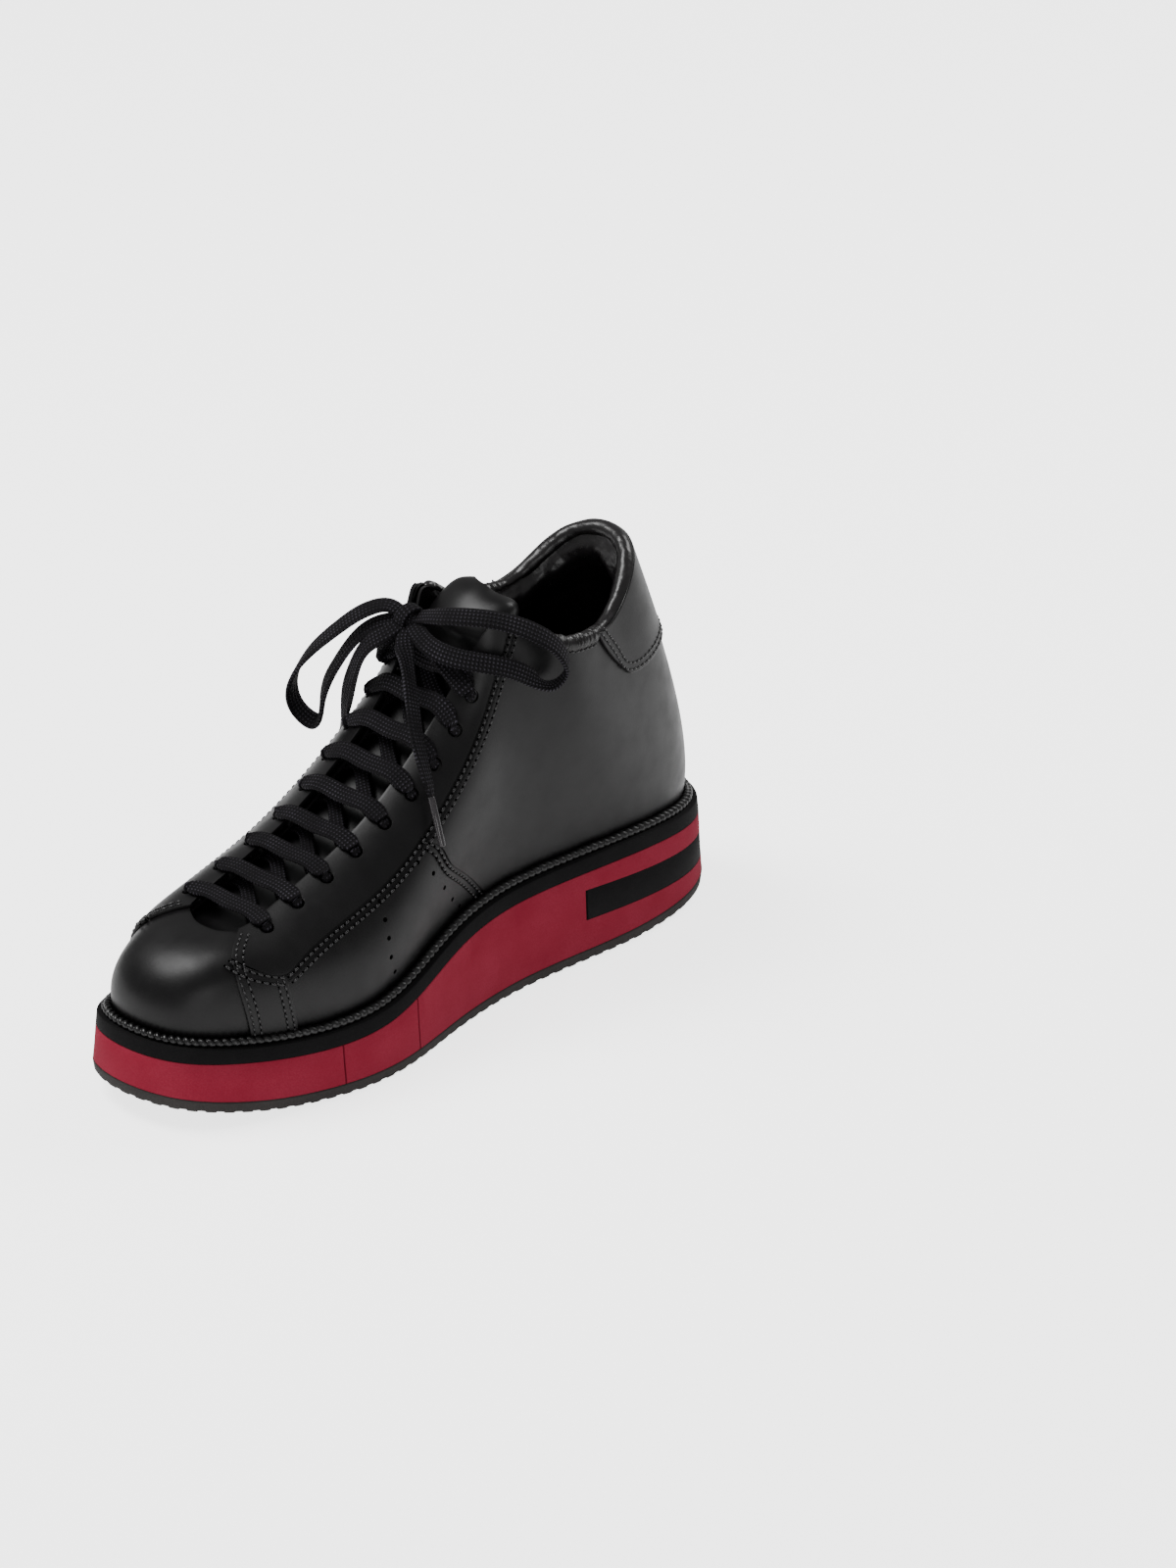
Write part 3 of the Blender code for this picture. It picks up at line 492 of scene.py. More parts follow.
@dataclass(frozen=True)
class Foam(Finish):
    """Sanded foam rubber or moulded rubber: matt, with a fine fleck in colour and height."""

    fleck_and_glint: str = "#000000"
    fleck_mm: float = 0.6
    depth: float = 0.04

    def detail(self, tree: bpy.types.NodeTree, shader: bpy.types.Node) -> None:
        fine = self.noise(tree, self.fleck_mm, 3.0)
        cloud = self.noise(tree, 18.0, 2.0)
        mixed = add_node(tree, "ShaderNodeMath", {"operation": "MULTIPLY", "at": {0: fine, 1: cloud}})
        part = add_node(tree, "ShaderNodeMapRange", Value=mixed.outputs[0], From_Min=0.12,
                        From_Max=0.42, To_Max=1.0)
        colour = add_node(tree, "ShaderNodeMix", {"data_type": "RGBA", "at": {
            0: part.outputs[0], 6: linear(self.base), 7: linear(self.fleck_and_glint)}})
        bump = add_node(tree, "ShaderNodeBump", Height=fine, Strength=0.6, Distance=self.depth * MM)
        tree.links.new(colour.outputs[2], shader.inputs["Base Color"])
        tree.links.new(bump.outputs[0], shader.inputs["Normal"])


@dataclass(frozen=True)
class Braid(Finish):
    """Flat tubular braid of waxed cotton: crossing strands 1 mm apart, with grey painted highlights on their
    crests in patches.
    """

    # grey of the painted highlights on the strand crests
    fleck_and_glint: str = "#45424a"
    strand_mm: float = 1.5

    def detail(self, tree: bpy.types.NodeTree, shader: bpy.types.Node) -> None:
        uv = add_node(tree, "ShaderNodeUVMap", {"uv_map": "mm"}).outputs[0]
        split = add_node(tree, "ShaderNodeSeparateXYZ", Vector=uv)
        waves = []
        for kind in ("ADD", "SUBTRACT"):
            both = add_node(tree, "ShaderNodeMath", {"operation": kind, "at": {
                0: split.outputs[0], 1: split.outputs[1]}})
            turn = add_node(tree, "ShaderNodeMath", {"operation": "MULTIPLY", "at": {
                0: both.outputs[0], 1: math.pi / self.strand_mm}})
            wave = add_node(tree, "ShaderNodeMath", {"operation": "SINE", "at": {0: turn.outputs[0]}})
            waves.append(wave.outputs[0])
        cross = add_node(tree, "ShaderNodeMath", {"operation": "MULTIPLY", "at": {
            0: waves[0], 1: waves[1]}}).outputs[0]
        # painted highlight: the weave crests, in noise patches, mixed towards the grey
        patch = self.noise(tree, 11.0, 4.0)
        lit = add_node(tree, "ShaderNodeMath", {"operation": "MULTIPLY", "at": {
            0: cross, 1: patch}}).outputs[0]
        part = add_node(tree, "ShaderNodeMapRange", Value=lit, From_Min=0.20, From_Max=0.62, To_Max=0.9)
        colour = add_node(tree, "ShaderNodeMix", {"data_type": "RGBA", "at": {
            0: part.outputs[0], 6: linear(self.base), 7: linear(self.fleck_and_glint)}})
        bump = add_node(tree, "ShaderNodeBump", Height=cross, Strength=1.0, Distance=0.25 * MM)
        tree.links.new(colour.outputs[2], shader.inputs["Base Color"])
        tree.links.new(bump.outputs[0], shader.inputs["Normal"])


@dataclass(frozen=True)
class Plain(Finish):
    """Smooth material with no pattern of its own, clear when transmission is set."""

    transmission: float = 0.0

    def detail(self, tree: bpy.types.NodeTree, shader: bpy.types.Node) -> None:
        shader.inputs["Transmission Weight"].default_value = self.transmission
        shader.inputs["IOR"].default_value = 1.49


# semi-gloss box calf: broad soft highlights on near-black
CALF = Leather("calf_leather_black", "#0a090a", 0.38, 0.26, wave_mm=38.0, wave_depth=0.5)
# softer folded glove leather of the padding: wrinkled, with small sharp glints
GLOVE = Leather("glove_leather_lining", "#141213", 0.30, 0.45, grain_mm=1.2, grain_depth=0.12,
                wave_mm=6.0, wave_depth=1.5)
# gathered strip of the welt: the same calf drawn tight, so every gather catches a small glint
WELT_CALF = Leather("calf_leather_welt", "#090809", 0.34, 0.5, grain_mm=0.9, grain_depth=0.10,
                    wave_mm=5.0, wave_depth=0.3)
# sanded red foam rubber: matt wall that reads as solid colour with faint flecks
RED_FOAM = Foam("sanded_foam_red", "#821a2e", 0.80, 0.12, fleck_and_glint="#8d273a")
# the same foam in black: the darkest, flattest bands of the sole
BLACK_FOAM = Foam("sanded_foam_black", "#060506", 0.75, 0.12, fleck_and_glint="#100f10")
# moulded outsole rubber: dark warm grey, dull
OUTSOLE_RUBBER = Foam("moulded_rubber_grey", "#2c2a29", 0.80, 0.2, fleck_and_glint="#383534")
# waxed cotton braid: near-black strands with small painted grey highlights where they cross
COTTON = Braid("braided_waxed_cotton", "#070508", 0.75, 0.15)
# waxed thread: a row of beads slightly brighter than the leather
THREAD = Plain("waxed_thread_black", "#121113", 0.30)
# needle holes beside each stitch: near-black dots of painted shade, where no light comes back
HOLE_SHADE = Plain("needle_hole_painted_shade", "#010101", 0.95, 0.0)
# rolled film over the dark cord: a dark tip with a narrow bright edge
AGLET_FILM = Plain("aglet_clear_film", "#3c393b", 0.14, transmission=0.35)
# fibre board under the foot: plain dull brown, hidden by the sockliner
BOARD = Plain("fibre_board_brown", "#6b5642", 0.9)


# ---- mesh making -----------------------------------------------------------------------------
def mapped_grid(
    name: str, across: int, along: int, shape: Callable[[Array, Array], Array]
) -> bpy.types.Object:
    """A plane grid laid onto a shape.

    Args:
        name: Object name.
        across: Cells in the first direction.
        along: Cells in the second direction.
        shape: Takes both parameters, 0 to 1, and gives points in mm.

    Returns:
        The object, with its map in mm named "mm".
    """
    bpy.ops.object.select_all(action="DESELECT")
    bpy.ops.mesh.primitive_grid_add(x_subdivisions=across, y_subdivisions=along, size=1)
    obj = bpy.context.active_object
    obj.name = name
    obj.data.name = name
    co = np.zeros(len(obj.data.vertices) * 3)
    obj.data.vertices.foreach_get("co", co)
    flat = co.reshape(-1, 3)[:, :2] + 0.5
    points = shape(flat[:, 0], flat[:, 1]) * MM
    obj.data.vertices.foreach_set("co", points.ravel())
    obj.data.update()
    return obj


def weld(obj: bpy.types.Object) -> bpy.types.Object:
    """Joins the vertices that meet and turns the faces outwards.

    Args:
        obj: Object to clean.

    Returns:
        The same object.
    """
    bpy.ops.object.select_all(action="DESELECT")
    bpy.context.view_layer.objects.active = obj
    obj.select_set(True)
    bpy.ops.object.mode_set(mode="EDIT")
    bpy.ops.mesh.select_all(action="SELECT")
    bpy.ops.mesh.remove_doubles(threshold=2e-6)
    bpy.ops.mesh.normals_make_consistent(inside=False)
    bpy.ops.object.mode_set(mode="OBJECT")
    return obj


def smooth(obj: bpy.types.Object, angle: float = 40.0) -> bpy.types.Object:
    """Applies every modifier and shades smooth below an angle.

    Args:
        obj: Object to finish.
        angle: Sharp edges start here, in degrees.

    Returns:
        The same object.
    """
    bpy.ops.object.select_all(action="DESELECT")
    bpy.context.view_layer.objects.active = obj
    obj.select_set(True)
    for mod in list(obj.modifiers):
        bpy.ops.object.modifier_apply(modifier=mod.name)
    bpy.ops.object.shade_smooth_by_angle(angle=math.radians(angle))
    return obj


def modifier(obj: bpy.types.Object, kind: str, **settings: object) -> bpy.types.Modifier:
    """Adds a modifier.

    Args:
        obj: Object to change.
        kind: Blender's modifier type.
        settings: Its properties.

    Returns:
        The modifier.
    """
    mod = obj.modifiers.new(kind.lower(), kind)
    for key, value in settings.items():
        setattr(mod, key, value)
    return mod


def ripple(x: Array, seed: float) -> Array:
    """Smooth aperiodic wobble from -1 to 1.

    Args:
        x: Place in turns of the main wave.
        seed: Shift between wobbles.

    Returns:
        The wobble.
    """
    return (np.sin(x + seed) + 0.6 * np.sin(1.73 * x + 2.1 * seed) + 0.4 * np.sin(2.9 * x + 3.7 * seed)) / 2


@dataclass
class Piece(ABC):
    """One visual piece: what it is called, made of, rides on and stands for."""

    name: str
    finish: Finish
    slot: str
    nodes: tuple[str, ...] = ()
    body: Body = Body.SHOE

    @abstractmethod
    def model(self) -> bpy.types.Object:
        """Builds the geometry.

        Returns:
            The object, in place.
        """

    def make(self) -> bpy.types.Object:
        """Builds, paints and ties the piece to the frame.

        Returns:
            The finished object.
        """
        obj = self.model()
        obj.data.materials.clear()
        obj.data.materials.append(self.finish.material())
        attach(obj, self.body.value)
        if self.nodes:
            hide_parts(*self.nodes)
        LOG.info("%s: %d faces", self.name, len(obj.data.polygons))
        return obj


@dataclass
class SoleLayer(Piece):
    """Layer of the sole: a profile run round the outline and closed along the middle."""

    profile: tuple[tuple[float, Callable[[Array], Array]], ...] = ()
    teeth: float = 0.0
    span: tuple[float | None, float | None] = (None, None)
    groove: bool = False
    around: int = 560

    def rows(self, s: Array, row: Array) -> Array:
        """Points of the layer.

        Args:
            s: Place round the outline, 0 to 1 once round.
            row: Place through the profile, 0 to 1.

        Returns:
            The points.
        """
        s = s * 2
        count = len(self.profile) + 1
        index = np.rint(row * count).astype(int)
        out = np.zeros((len(s), 3))
        for k in range(count + 1):
            mask = index == k
            inset, height = self.profile[min(max(k - 1, 0), len(self.profile) - 1)]
            here = LAST.edge(s[mask], inset)[0]
            y = here[:, 1]
            z = height(y)
            if self.teeth and k in (2, 3):
                wave = np.sin(s[mask] * 2 * math.pi * 48)
                z = z + self.teeth * np.clip(wave * 3, 0, 1) * (1 if k == 2 else 0.9)
            if k in (0, count):
                other = LAST.edge((2 - s[mask]) % 2, inset)[0]
                here = (here + other) / 2
                z = height(here[:, 1])
            out[mask] = np.concatenate([here, z[:, None]], -1)
        return out

    def model(self) -> bpy.types.Object:
        obj = weld(mapped_grid(self.name, self.around, len(self.profile) + 1, self.rows))
        tools = []
        low, high = self.span
        if low is not None:
            tools.append(self.block(-BEYOND, low))
        if high is not None:
            tools.append(self.block(high, BEYOND))
        if self.groove:
            tools.append(HeelInlay.tool())
        for tool in tools:
            modifier(obj, "BOOLEAN", operation="DIFFERENCE", solver="EXACT", object=tool)
        smooth(obj, 35)
        for tool in tools:
            bpy.data.objects.remove(tool, do_unlink=True)
        return obj

    @staticmethod
    def block(a: float, b: float) -> bpy.types.Object:
        """Cutting block across the sole from y a to y b.

        Args:
            a: Lower y.
            b: Upper y.

        Returns:
            The block.
        """
        bpy.ops.object.select_all(action="DESELECT")
        bpy.ops.mesh.primitive_cube_add(size=1, location=(0, (a + b) / 2 * MM, 0.03),
                                        scale=(0.3, (b - a) * MM, 0.2))
        bpy.ops.object.transform_apply(location=True, rotation=True, scale=True)
        return bpy.context.active_object


@dataclass
class HeelInlay(Piece):
    """Black band let into the red wedge round the heel."""

    @staticmethod
    def strip(name: str, grow: float, face: tuple[float, float], depth: float) -> bpy.types.Object:
        """Band round the heel.

        Args:
            name: Object name.
            grow: Millimetres taller on each side.
            face: Insets of its outer face at the low and the high edge.
            depth: Millimetres it goes in.

        Returns:
            The closed band.
        """
        fine = np.linspace(0, 1, 4001)
        start = float(np.interp(-INLAY_START_Y, -LAST.edge(fine)[0][:, 1], fine)) + grow * 0.004

        def shape(a: Array, b: Array) -> Array:
            s = (a - 0.5) * 2 * start
            corner = np.rint(b * 7).astype(int) % 7
            insets = np.array((face[0] + 0.2, face[0], face[1], face[1] + 0.2, depth, depth, depth))[corner]
            rise = np.array((0.0, 0.02, 0.98, 1.0, 1.0, 0.5, 0.0))[corner]
            end = np.minimum(1, (1 - np.abs(a - 0.5) * 2) * 1e6)
            insets = insets * end + depth * (1 - end)
            here = LAST.edge(s, insets)[0]
            f = np.clip((here[:, 1] - INLAY_START_Y) / (STATION_Y[0] - INLAY_START_Y), 0, 1)
            low = INLAY_LOW[0] + (INLAY_LOW[1] - INLAY_LOW[0]) * f - grow
            high = INLAY_HIGH[0] + (INLAY_HIGH[1] - INLAY_HIGH[0]) * f + grow
            return np.stack([here[:, 0], here[:, 1], low + (high - low) * rise], -1)

        return weld(mapped_grid(name, 160, 7, shape))

    @staticmethod
    def tool() -> bpy.types.Object:
        """Cutter for the groove.

        Returns:
            The cutter.
        """
        return HeelInlay.strip("groove_tool", 0.05, (-6.0, -6.0), 2.4)

    def model(self) -> bpy.types.Object:
        return smooth(self.strip(self.name, 0.0, (-0.14, 0.36), 2.2), 50)


@dataclass
class Welt(Piece):
    """Gathered leather rib round the foot of the upper, pinched at every stitch."""

    pitch: float = 3.5

    def model(self) -> bpy.types.Object:
        gathers = int(round(720 / self.pitch))

        def shape(a: Array, b: Array) -> Array:
            s = a * 2
            angle = b * 2 * math.pi
            phase = gathers * s * math.pi / 2 + 0.9 * np.cos(angle)
            pinch = np.abs(np.sin(phase)) ** 0.7
            wobble = ripple(s * 90, 0.7) * 0.10
            swell = 0.52 + 0.54 * pinch + wobble
            inset = 5.1 - 2.0 * np.cos(angle) * (0.70 + 0.38 * pinch)
            height = 1.15 + 1.9 * np.sin(angle) * swell
            here = LAST.edge(s, inset)[0]
            z = LAST.flange_top(here[:, 1]) + np.maximum(height, 0.05)
            return np.stack([here[:, 0], here[:, 1], z], -1)

        return smooth(weld(mapped_grid(self.name, gathers * 12, 16, shape)), 60)


@dataclass
class Panel(Piece):
    """Leather panel over a patch of the upper, with a rounded cut edge and punched holes."""

    foot: tuple[UT, ...] = ()
    top: tuple[UT, ...] = ()
    front: tuple[UT, ...] = ()
    rear: tuple[UT, ...] = ()
    side: int = 1
    lift: float = -LEATHER
    thick: float = LEATHER
    cells: tuple[int, int] = (40, 20)
    holes: tuple[UT, ...] = ()
    hole_diameter: float = EYELET_DIAMETER

    def patch(self, a: Array, b: Array) -> Array:
        """Points of the panel's inner face.

        Args:
            a: 0 to 1 from the front edge to the rear edge.
            b: 0 to 1 upwards.

        Returns:
            The points.
        """
        even = np.linspace(0, 1, 200)
        edges = [along_curve(line, 200) for line in (self.foot, self.top, self.front, self.rear)]
        low, high = [np.stack([np.interp(a, even, e[:, k]) for k in (0, 1)], -1) for e in edges[:2]]
        left, right = [np.stack([np.interp(b, even, e[:, k]) for k in (0, 1)], -1) for e in edges[2:]]
        p, q = a[:, None], b[:, None]
        corner = ((1 - p) * (1 - q) * edges[0][0] + p * (1 - q) * edges[0][-1]
                  + (1 - p) * q * edges[1][0] + p * q * edges[1][-1])
        ut = (1 - q) * low + q * high + (1 - p) * left + p * right - corner
        s = ut[:, 0] if self.side > 0 else 2 - ut[:, 0]
        return LAST.shell(s, np.clip(ut[:, 1], 0, 1), self.lift)

    def pins(self) -> bpy.types.Object:
        """Pins that punch the holes.

        Returns:
            One object holding every pin.
        """
        made = []
        for u, t in self.holes:
            s = np.array(u if self.side > 0 else 2 - u)
            place = LAST.shell(s, np.array(t)) * MM
            way = Vector(LAST.normal(s, np.array(t))).to_track_quat("Z", "Y").to_euler()
            bpy.ops.object.select_all(action="DESELECT")
            bpy.ops.mesh.primitive_cylinder_add(vertices=24, radius=self.hole_diameter / 2 * MM, depth=0.012,
                                                location=place, rotation=way)
            made.append(bpy.context.active_object)
        bpy.ops.object.select_all(action="DESELECT")
        for pin in made:
            pin.select_set(True)
        bpy.context.view_layer.objects.active = made[0]
        bpy.ops.object.join()
        return made[0]

    def model(self) -> bpy.types.Object:
        obj = mapped_grid(self.name, *self.cells, self.patch)
        middle = self.patch(np.array([0.5]), np.array([0.5]))[0] * MM
        near = min(obj.data.polygons, key=lambda face: (face.center - Vector(middle)).length)
        if near.normal.dot(Vector(LAST.normal(*self.middle_ut()))) < 0:
            obj.data.flip_normals()
        modifier(obj, "SOLIDIFY", thickness=self.thick * MM, offset=1.0)
        tool = None
        if self.holes:
            tool = self.pins()
            modifier(obj, "BOOLEAN", operation="DIFFERENCE", solver="EXACT", object=tool)
        modifier(obj, "BEVEL", width=0.32 * MM, segments=3, limit_method="ANGLE",
                 angle_limit=math.radians(50),
                 use_clamp_overlap=True)
        smooth(obj, 40)
        if tool:
            bpy.data.objects.remove(tool, do_unlink=True)
        return obj

    def middle_ut(self) -> tuple[Array, Array]:
        """Place of the panel's middle.

        Returns:
            s and t there.
        """
        lines = (self.foot, self.top, self.front, self.rear)
        points = np.array([p for line in lines for p in (line[0], line[-1])])
        u, t = points.mean(axis=0)
        return np.array(u if self.side > 0 else 2 - u), np.array(min(max(t, 0.05), 0.95))


@dataclass
class Stitches(Piece):
    """Rows of thread over the leather: one raised bead per stitch, dipping in at its ends."""

    rows: list[tuple[Array, Array]] = field(default_factory=list)
    pitch: float = 2.8
    width: float = 0.95
    # True for short near-black beads of painted shade at the needle holes, one at each stitch end
    shade_dots: bool = False

    def add_row(self, line: Sequence[UT], side: int, lift: float, shift: float) -> None:
        """Adds a row beside a line on the upper.

        Args:
            line: Line in (u, t).
            side: 1 inner side, -1 outer side.
            lift: Height over the upper's surface.
            shift: Millimetres to the left of the line, seen along it from outside.
        """
        ut = along_curve(line, 160)
        s = ut[:, 0] if side > 0 else 2 - ut[:, 0]
        points = LAST.shell(s, np.clip(ut[:, 1], 0, 1), lift)
        normals = LAST.normal(s, np.clip(ut[:, 1], 0, 1))
        way = unit(np.gradient(points, axis=0))
        points = points + np.cross(normals, way) * shift * side
        self.rows.append((points, normals))

    def model(self) -> bpy.types.Object:
        spots = []
        for points, normals in self.rows:
            length = float(np.linalg.norm(np.diff(points, axis=0), axis=1).sum())
            n = max(2, int(length / self.pitch))
            both = along_curve(np.concatenate([points, normals], 1), 2 * n + 1)
            for k in range(n):
                # the painted-shade dots sit on the stitch ends and are 0.9 mm long
                middle = both[2 * k + (0 if self.shade_dots else 1)]
                reach = 0.9 if self.shade_dots else length / n
                run = unit(both[2 * k + 2, :3] - both[2 * k, :3])
                spots.append((middle[:3], run, unit(middle[3:6]), reach))
        rings, sides = 5, 6
        count = len(spots)
        centre = np.array([spot[0] for spot in spots])
        way = np.array([spot[1] for spot in spots])
        up = np.array([spot[2] for spot in spots])
        up = unit(up - way * (up * way).sum(-1, keepdims=True))
        cross = np.cross(way, up)
        size = np.array([spot[3] for spot in spots])

        def shape(a: Array, b: Array) -> Array:
            total = count * (rings + 1) - 1
            index = np.rint(a * total).astype(int)
            which, ring = index // (rings + 1), index % (rings + 1)
            f = ring / rings * 2 - 1
            angle = b * 2 * math.pi
            radius = self.width / 2 * np.sqrt(np.clip(1 - np.abs(f) ** 3, 0, 1))
            base = centre[which] + way[which] * (f * 0.43 * size[which])[:, None]
            dip = -0.28 * f**2
            return (base + cross[which] * (radius * np.cos(angle))[:, None]
                    + up[which] * (0.8 * radius * np.sin(angle) + dip)[:, None])

        obj = mapped_grid(self.name, count * (rings + 1) - 1, sides, shape)
        return smooth(self.split(obj, count, rings), 80)

    @staticmethod
    def split(obj: bpy.types.Object, count: int, rings: int) -> bpy.types.Object:
        """Takes out the faces that join one bead to the next.

        Args:
            obj: Grid of all beads in one run.
            count: Number of beads.
            rings: Cells along one bead.

        Returns:
            The same object with separate beads.
        """
        across = count * (rings + 1)
        bpy.ops.object.select_all(action="DESELECT")
        bpy.context.view_layer.objects.active = obj
        obj.select_set(True)
        marks = []
        for face in obj.data.polygons:
            columns = [v % across for v in face.vertices]
            marks.append(min(columns) // (rings + 1) != max(columns) // (rings + 1))
        bpy.ops.object.mode_set(mode="EDIT")
        bpy.ops.mesh.select_mode(type="FACE")
        bpy.ops.mesh.select_all(action="DESELECT")
        bpy.ops.object.mode_set(mode="OBJECT")
        obj.data.polygons.foreach_set("select", marks)
        bpy.ops.object.mode_set(mode="EDIT")
        bpy.ops.mesh.delete(type="FACE")
        bpy.ops.object.mode_set(mode="OBJECT")
        return weld(obj)


@dataclass
class Lining(Piece):
    """Soft lining, padded round the collar and pulled into small wrinkles."""

    def model(self) -> bpy.types.Object:
        def shape(a: Array, b: Array) -> Array:
            s = (a - 0.5) * 2 * 0.813
            t = 0.02 + 0.975 * b
            soft = np.clip((0.40 - np.abs(s)) / 0.05, 0, 1)
            soft = soft * soft * (3 - 2 * soft)
            pad = np.exp(-((t - 0.915) / 0.075) ** 2) * 5.6 * soft
            fold = ripple(s * 75 + 5 * t, 1.3) * np.exp(-((t - 0.84) / 0.14) ** 2) * 1.5 * soft
            fold = fold + ripple(t * 55 + 14 * s, 0.4) * 0.7 * soft * np.clip((0.985 - t) / 0.05, 0, 1)
            return LAST.shell(s % 2, t, -2.4 - 1.2 * soft * (b < 0.985) - pad - fold)

        obj = mapped_grid(self.name, 260, 70, shape)
        modifier(obj, "SOLIDIFY", thickness=0.9 * MM, offset=0.0)
        return smooth(obj, 60)


@dataclass
class CollarRoll(Piece):
    """Gathered binding rolled over the mouth from one eyestay round the heel to the other."""

    def model(self) -> bpy.types.Object:
        limit = 0.388

        def shape(a: Array, b: Array) -> Array:
            s = (a - 0.5) * 2 * limit
            angle = b * 2 * math.pi
            normal = LAST.normal(s % 2, np.full_like(s, 0.985))
            edge = np.full_like(s, 1.0)
            way = unit(LAST.point((s + 0.003) % 2, edge) - LAST.point((s - 0.003) % 2, edge))
            up = unit(np.cross(way, normal))
            up = up * np.sign(up[:, 2:3])
            side = np.clip((np.abs(s) - 0.13) / 0.03, 0, 1) * np.clip((0.34 - np.abs(s)) / 0.07, 0, 1)
            fine = ripple(s * 620 + 1.8 * np.sin(angle), 0.9)
            wrinkle = 1 + side * 0.15 * fine + 0.08 * ripple(s * 90, 2.0)
            back = np.clip((0.13 - np.abs(s)) / 0.05, 0, 1) * 0.9
            end = np.clip((limit - np.abs(s)) / 0.012, 0, 1) ** 0.5
            wide = (2.5 * wrinkle + back + 0.5 * side) * end
            tall = (2.4 * wrinkle + back + 0.6 * side) * end
            centre = LAST.shell(s % 2, np.full_like(s, 0.985), -1.9 + 0.9 * side)
            return (centre + normal * (wide * np.cos(angle))[:, None]
                    + up * (tall * np.sin(angle) + 0.6)[:, None])

        return smooth(weld(mapped_grid(self.name, 900, 14, shape)), 70)


@dataclass
class Tongue(Piece):
    """Leather tongue with a padded body and a folded, rounded top."""

    @staticmethod
    def rows() -> Array:
        """Control rows from the throat to the top.

        Returns:
            Rows of points.
        """
        rows = []
        for k, (u, offset) in enumerate(TONGUE_ROWS):
            left, right = [[LAST.shell(np.array(s), np.array(t), offset) for t in (0.80, 0.88, 0.96)]
                           for s in (2 - u, u)]
            rim = np.array(0.99)
            normal = unit(LAST.normal(np.array(u), rim) + LAST.normal(np.array(2 - u), rim))
            crown = TONGUE_CROWN * max(0, k - 10) / 2
            middle = [left[-1] + (right[-1] - left[-1]) * f + normal * 4 * crown * f * (1 - f)
                      for f in (0.25, 0.5, 0.75)]
            rows.append(np.array(left + middle + right[::-1]))
        last = rows[-1]
        centre = last.mean(axis=0)
        for back, up, narrow, across in TONGUE_TOP_STEPS:
            row = centre + (last - centre) * np.array([narrow, 1.0, 1.0]) + np.array([across, back, up])
            spread = (last[:, 0] - centre[0]) / np.ptp(last[:, 0]) * 2
            row[:, 2] -= (1 - narrow) * 14 * spread**2
            row[:, 1] += 3.0 * spread**2 * (1 - narrow)
            share = back / TONGUE_TOP_STEPS[-1][0]
            row[:, 2] += share * TONGUE_PEAK * (1 - np.clip(spread + 0.5, 0, 1))
            rows.append(row)
        return np.array(rows)

    def surface(self, a: Array, b: Array) -> Array:
        """Upper face of the tongue.

        Args:
            a: 0 to 1 from the throat to the top.
            b: 0 to 1 across.

        Returns:
            The points.
        """
        rows = self.rows()
        run = np.linspace(0, 1, rows.shape[0])
        wide = np.linspace(0, 1, rows.shape[1])
        fine_a = np.linspace(0, 1, 121)
        fine_b = np.linspace(0, 1, 49)
        table = spline(run, rows, fine_a)
        table = np.swapaxes(spline(wide, np.swapaxes(table, 0, 1), fine_b), 0, 1)
        i = np.rint(a * 120).astype(int)
        j = np.rint(b * 48).astype(int)
        return table[i, j]

    def model(self) -> bpy.types.Object:
        obj = mapped_grid(self.name, 120, 48, self.surface)
        faces = obj.data.polygons
        if faces[len(faces) // 2].normal.z < 0:
            obj.data.flip_normals()
        modifier(obj, "SOLIDIFY", thickness=2.8 * MM, offset=-1.0)
        modifier(obj, "BEVEL", width=1.1 * MM, segments=4, limit_method="ANGLE", angle_limit=math.radians(50))
        return smooth(obj, 50)


@dataclass
class Ribbon(Piece):
    """Flat braided lace swept along a path, with its braid mapped in mm."""

    stations: Array = field(default_factory=lambda: np.zeros((0, 8)))
    step: float = 0.8
    sides: int = 16

    def path(self) -> Array:
        """Even stations along the lace.

        Returns:
            Rows of point, facing, width and thickness.
        """
        run = np.linalg.norm(np.diff(self.stations[:, :3], axis=0), axis=1).sum()
        return along_curve(self.stations, max(12, int(run / self.step)))

    def model(self) -> bpy.types.Object:
        rows = self.path()
        n = len(rows)
        way = unit(np.gradient(rows[:, :3], axis=0))
        face = unit(rows[:, 3:6] - way * (rows[:, 3:6] * way).sum(-1, keepdims=True))
        side = np.cross(way, face)
        length = np.concatenate([[0], np.cumsum(np.linalg.norm(np.diff(rows[:, :3], axis=0), axis=1))])

        def section(b: Array, wide: Array, thick: Array) -> tuple[Array, Array]:
            angle = b * 2 * math.pi
            c, s = np.cos(angle), np.sin(angle)
            x = np.sign(c) * np.abs(c) ** 0.55 * wide / 2
            z = np.sign(s) * np.abs(s) ** 0.75 * thick / 2
            return x, z

        def shape(a: Array, b: Array) -> Array:
            i = np.rint(a * (n - 1)).astype(int)
            x, z = section(b, rows[i, 6], rows[i, 7])
            cap = np.where((i == 0) | (i == n - 1), 0.55, 1.0)
            return rows[i, :3] + side[i] * (x * cap)[:, None] + face[i] * (z * cap)[:, None]

        obj = mapped_grid(self.name, n - 1, self.sides, shape)
        layer = obj.data.uv_layers.new(name="mm")
        first = obj.data.uv_layers[0]
        flat = np.zeros(len(first.data) * 2)
        first.data.foreach_get("uv", flat)
        uv = flat.reshape(-1, 2)
        i = np.rint(uv[:, 0] * (n - 1)).astype(int)
        x, _ = section(uv[:, 1], rows[i, 6], rows[i, 7])
        layer.data.foreach_set("uv", np.stack([x, length[i]], -1).ravel())
        return smooth(weld(obj), 70)


